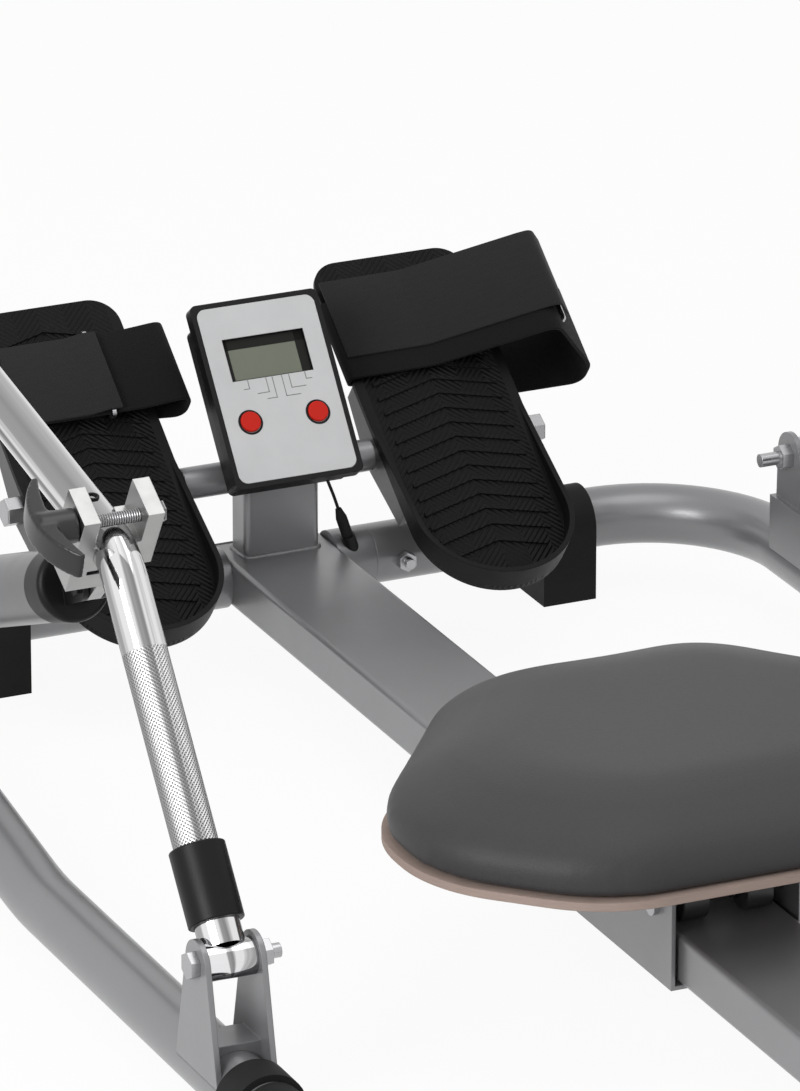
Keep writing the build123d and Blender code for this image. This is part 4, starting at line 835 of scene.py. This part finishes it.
class ROWER_OT_straps(bpy.types.Operator):
    """Makes the two woven foot straps and the brushed layer on top of each"""
    bl_idname = "rower.straps"
    bl_label = "Foot straps"

    def execute(self, context):
        s = context.scene.rower_sizes
        climb, rise = leaned(s.plate_tilt)
        for strap in STRAPS:
            side, body = strap["side"], "foot_" + strap["side"]
            axle = Vector((strap["x"], AXLE.y, AXLE.z))
            piece = band("strap_band_" + side,
                         framed(axle + climb * strap["band_at"], RIGHT, rise),
                         rounded(strap["band"], strap["band_bends"], True), True,
                         s.strap_width, s.strap_thickness)
            hand_over(piece, "strap_web", body, "strap_web", "foot_strap_" + side)
            face = band("strap_facing_" + side,
                        framed(axle + climb * strap["facing_at"], RIGHT, rise),
                        rounded(strap["facing"], strap["facing_bends"], False), False,
                        s.strap_width * FACING_SHARE, FACING_THICKNESS)
            hand_over(face, "strap_felt", body, "strap_web")
        return {"FINISHED"}


class ROWER_OT_grips(bpy.types.Operator):
    """Rounds the ends of the foam grips"""
    bl_idname = "rower.grips"
    bl_label = "Foam grips"

    def execute(self, context):
        for side, _ in SIDES:
            piece = copy_of("arm_grip_" + side, "grip_foam_" + side)
            edit_all(piece)
            bpy.ops.mesh.dissolve_limited(angle_limit=math.radians(1))
            bpy.ops.object.mode_set(mode="OBJECT")
            bevel(piece, context.scene.rower_sizes.grip_edge, 4, 60)
            smooth(piece, 40.0)
            hand_over(piece, "foam", "arm_" + side, "foam", "arm_grip_" + side)
        return {"FINISHED"}


class ROWER_OT_welds(bpy.types.Operator):
    """Lays weld beads where the post meets the beam and the pedal tube meets the post"""
    bl_idname = "rower.welds"
    bl_label = "Weld beads"

    def execute(self, context):
        radius = context.scene.rower_sizes.weld_radius
        low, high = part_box("console_post")
        half_x, half_y = (high.x - low.x) / 2, POST_HALF_DEPTH
        corners = [(-half_x, -half_y), (half_x, -half_y), (half_x, half_y), (-half_x, half_y)]
        line = rounded(corners, [POST_CORNER] * 4, True, 5)
        foot = bead("weld_post_foot", [(p.x, AXLE.y + p.y, BEAM_TOP) for p in line], radius)
        hand_over(foot, "weld", "frame", "frame_paint")
        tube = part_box("pedal_tube")
        tube_radius = (tube[1].z - tube[0].z) / 2
        for side, sign in SIDES:
            ring = [(sign * half_x, AXLE.y + math.cos(turn) * tube_radius,
                     AXLE.z + math.sin(turn) * tube_radius)
                    for turn in (math.tau * step / 48 for step in range(48))]
            piece = bead("weld_pedal_tube_" + side, ring, radius * TUBE_BEAD)
            hand_over(piece, "weld", "frame", "frame_paint")
        return {"FINISHED"}


class ROWER_OT_console(bpy.types.Operator):
    """Prints the label's leader lines, lays dark bars of painted shadow in the display's recess and
    sets a dark ring round each button
    """
    bl_idname = "rower.console"
    bl_label = "Console details"

    def execute(self, context):
        s = context.scene.rower_sizes
        up, face = leaned(s.console_tilt)
        wide, bottom = s.line_width, WINDOW_Y - WINDOW_HIGH / 2

        rows = []
        for x, down, aside in LEADERS:
            corner = Vector((x, bottom - down))
            for end in (Vector((x, bottom)), Vector((x + aside, bottom - down))):
                middle, run = (corner + end) / 2, end - corner
                rows.append((CONSOLE_FOOT + RIGHT * middle.x + up * middle.y
                             + face * (PRINT_THICKNESS / 2 - PRINT_SINK),
                             (abs(run.x) + wide, abs(run.y) + wide, PRINT_THICKNESS)))
        hand_over(bars("label_leader_lines", up, rows), "label_print", "frame", "label")

        # Painted shadow: dark bars round the inside of the display's window, sunk to the screen's
        # depth
        rows = [(CONSOLE_FOOT + RIGHT * x + up * (WINDOW_Y + y) - face * SCREEN_DEPTH,
                 (across, along, WINDOW_SHADOW_THICKNESS)) for x, y, across, along in WINDOW_SHADOW_BARS]
        hand_over(bars("painted_window_shadow", up, rows), "window_shade", "frame", "black_plastic")

        for side, _ in SIDES:
            low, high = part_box("console_button_" + side)
            flat = (low + high) / 2 - CONSOLE_FOOT
            spot = CONSOLE_FOOT + RIGHT * flat.x + up * flat.dot(up) + face * WELL_RISE
            nothing_selected()
            bpy.ops.mesh.primitive_torus_add(major_radius=WELL_RADIUS, minor_radius=WELL_TUBE,
                                             major_segments=64, minor_segments=12)
            ring = new_piece("button_well_" + side)
            ring.matrix_world = framed(spot, RIGHT, up) @ Matrix.Diagonal((1, 1, WELL_FLATNESS, 1))
            smooth(settle(ring), 60.0)
            hand_over(ring, "black_plastic", "frame", "black_plastic")
        return {"FINISHED"}


class ROWER_OT_knobs(bpy.types.Operator):
    """Rounds the edges of the clamp knobs"""
    bl_idname = "rower.knobs"
    bl_label = "Clamp knobs"

    def execute(self, context):
        edge = context.scene.rower_sizes.knob_edge
        for side, _ in SIDES:
            piece = copy_of("clamp_knob_" + side, "knob_moulding_" + side)
            soften(remeshed(piece, edge / 2, 14))
            hand_over(piece, "knob_plastic", "knob_" + side, "black_plastic", "clamp_knob_" + side)
        return {"FINISHED"}


class ROWER_OT_arm_screws(bpy.types.Operator):
    """Sets a socket screw into each arm just above the clamp"""
    bl_idname = "rower.arm_screws"
    bl_label = "Arm screws"

    def execute(self, context):
        run, rise = leaned(ARM_LEAN)
        for side, sign in SIDES:
            spot = ARM_KNEE + run * SCREW_CLIMB + rise * SCREW_OUT + RIGHT * (sign * ARM_X)
            nothing_selected()
            bpy.ops.mesh.primitive_cylinder_add(vertices=32, radius=SCREW_RADIUS,
                                                depth=SCREW_DEPTH)
            piece = new_piece("arm_screw_" + side)
            piece.matrix_world = framed(spot, RIGHT, run)
            settle(piece)
            bpy.ops.object.mode_set(mode="EDIT")
            bpy.ops.mesh.select_all(action="DESELECT")
            bpy.ops.object.mode_set(mode="OBJECT")
            for face in piece.data.polygons:
                face.select = face.normal.dot(rise) > 0.9
            bpy.ops.object.mode_set(mode="EDIT")
            bpy.ops.mesh.inset(thickness=SCREW_RIM)
            bpy.ops.mesh.extrude_region_move(
                TRANSFORM_OT_translate={"value": tuple(rise * -SCREW_SOCKET)})
            bpy.ops.object.mode_set(mode="OBJECT")
            bevel(piece, SCREW_EDGE, 2, 50)
            smooth(piece, 40.0)
            hand_over(piece, "black_plastic", "arm_" + side, "black_plastic")
        return {"FINISHED"}


class ROWER_OT_stage(bpy.types.Operator):
    """Sets the floor, the soft studio light and the camera"""
    bl_idname = "rower.stage"
    bl_label = "Stage"

    def execute(self, context):
        nothing_selected()
        bpy.ops.mesh.primitive_plane_add(size=FLOOR_SIZE, location=(0, 0, 0))
        floor = new_piece("studio_floor")
        look = Look("studio_white", Base_Color=(0.86, 0.86, 0.86), Roughness=0.9,
                    Specular_IOR_Level=0.0)
        glow = look.add("ShaderNodeEmission", None, {"Color": (1, 1, 1), "Strength": 1.0})
        look.end_in_mix("Material Output", look.direct_rays() * FLOOR_GLOW,
                        Value(look, look.shader.outputs[0]), glow)
        floor.data.materials.append(look.material)

        world = bpy.data.worlds.new("soft_studio")
        world.use_nodes = True
        sky = Tree(world.node_tree)
        soft = sky.nodes["Background"]
        sky.put(soft.inputs["Color"], (1, 1, 1))
        sky.put(soft.inputs["Strength"], SKY_STRENGTH)
        white = sky.add("ShaderNodeBackground", None, {"Color": (1, 1, 1), "Strength": 1.0})
        sky.end_in_mix("World Output", sky.direct_rays(), Value(sky, soft.outputs[0]), white)
        context.scene.world = world

        for name, place, size, power in LAMPS:
            light = bpy.data.lights.new(name, "AREA")
            light.shape, light.size, light.energy = "SQUARE", size, power
            lamp = bpy.data.objects.new(name, light)
            lamp.location = place
            lamp.rotation_euler = (LAMP_AIM - lamp.location).to_track_quat("-Z", "Y").to_euler()
            context.scene.collection.objects.link(lamp)

        lens = bpy.data.cameras.new("photo_camera")
        lens.sensor_fit, lens.sensor_width, lens.lens = "HORIZONTAL", CAMERA_SENSOR, CAMERA_LENS
        lens.clip_end = 100.0
        camera = bpy.data.objects.new("photo_camera", lens)
        camera.location = CAMERA_PLACE
        camera.rotation_euler = (math.radians(CAMERA_PITCH), 0, math.radians(CAMERA_TURN))
        context.scene.collection.objects.link(camera)
        context.scene.camera = camera
        context.scene.view_settings.view_transform = "Standard"
        return {"FINISHED"}


class ROWER_PT_panel(bpy.types.Panel):
    """Lists the rowing machine's pieces"""
    bl_label = "Rowing machine"
    bl_idname = "ROWER_PT_panel"
    bl_space_type = "VIEW_3D"
    bl_region_type = "UI"
    bl_category = "Rower"

    def draw(self, context):
        for operator in OPERATORS:
            self.layout.operator(operator.bl_idname)
        for group in (context.scene.rower_sizes, context.scene.rower_colours):
            box = self.layout.box()
            for name in group.bl_rna.properties.keys():
                if name not in ("rna_type", "name"):
                    box.prop(group, name)


OPERATORS = (ROWER_OT_finishes, ROWER_OT_cushion, ROWER_OT_straps, ROWER_OT_grips,
             ROWER_OT_welds, ROWER_OT_console, ROWER_OT_knobs, ROWER_OT_arm_screws,
             ROWER_OT_stage)
CLASSES = (RowerSizes, RowerColours) + OPERATORS + (ROWER_PT_panel,)


def register():
    for kind in CLASSES:
        bpy.utils.register_class(kind)
    bpy.types.Scene.rower_sizes = bpy.props.PointerProperty(type=RowerSizes)
    bpy.types.Scene.rower_colours = bpy.props.PointerProperty(type=RowerColours)


def unregister():
    del bpy.types.Scene.rower_sizes, bpy.types.Scene.rower_colours
    for kind in reversed(CLASSES):
        bpy.utils.unregister_class(kind)


def main():
    register()
    for operator in OPERATORS:
        group, name = operator.bl_idname.split(".")
        getattr(getattr(bpy.ops, group), name)()


if __name__ == "__main__":
    main()
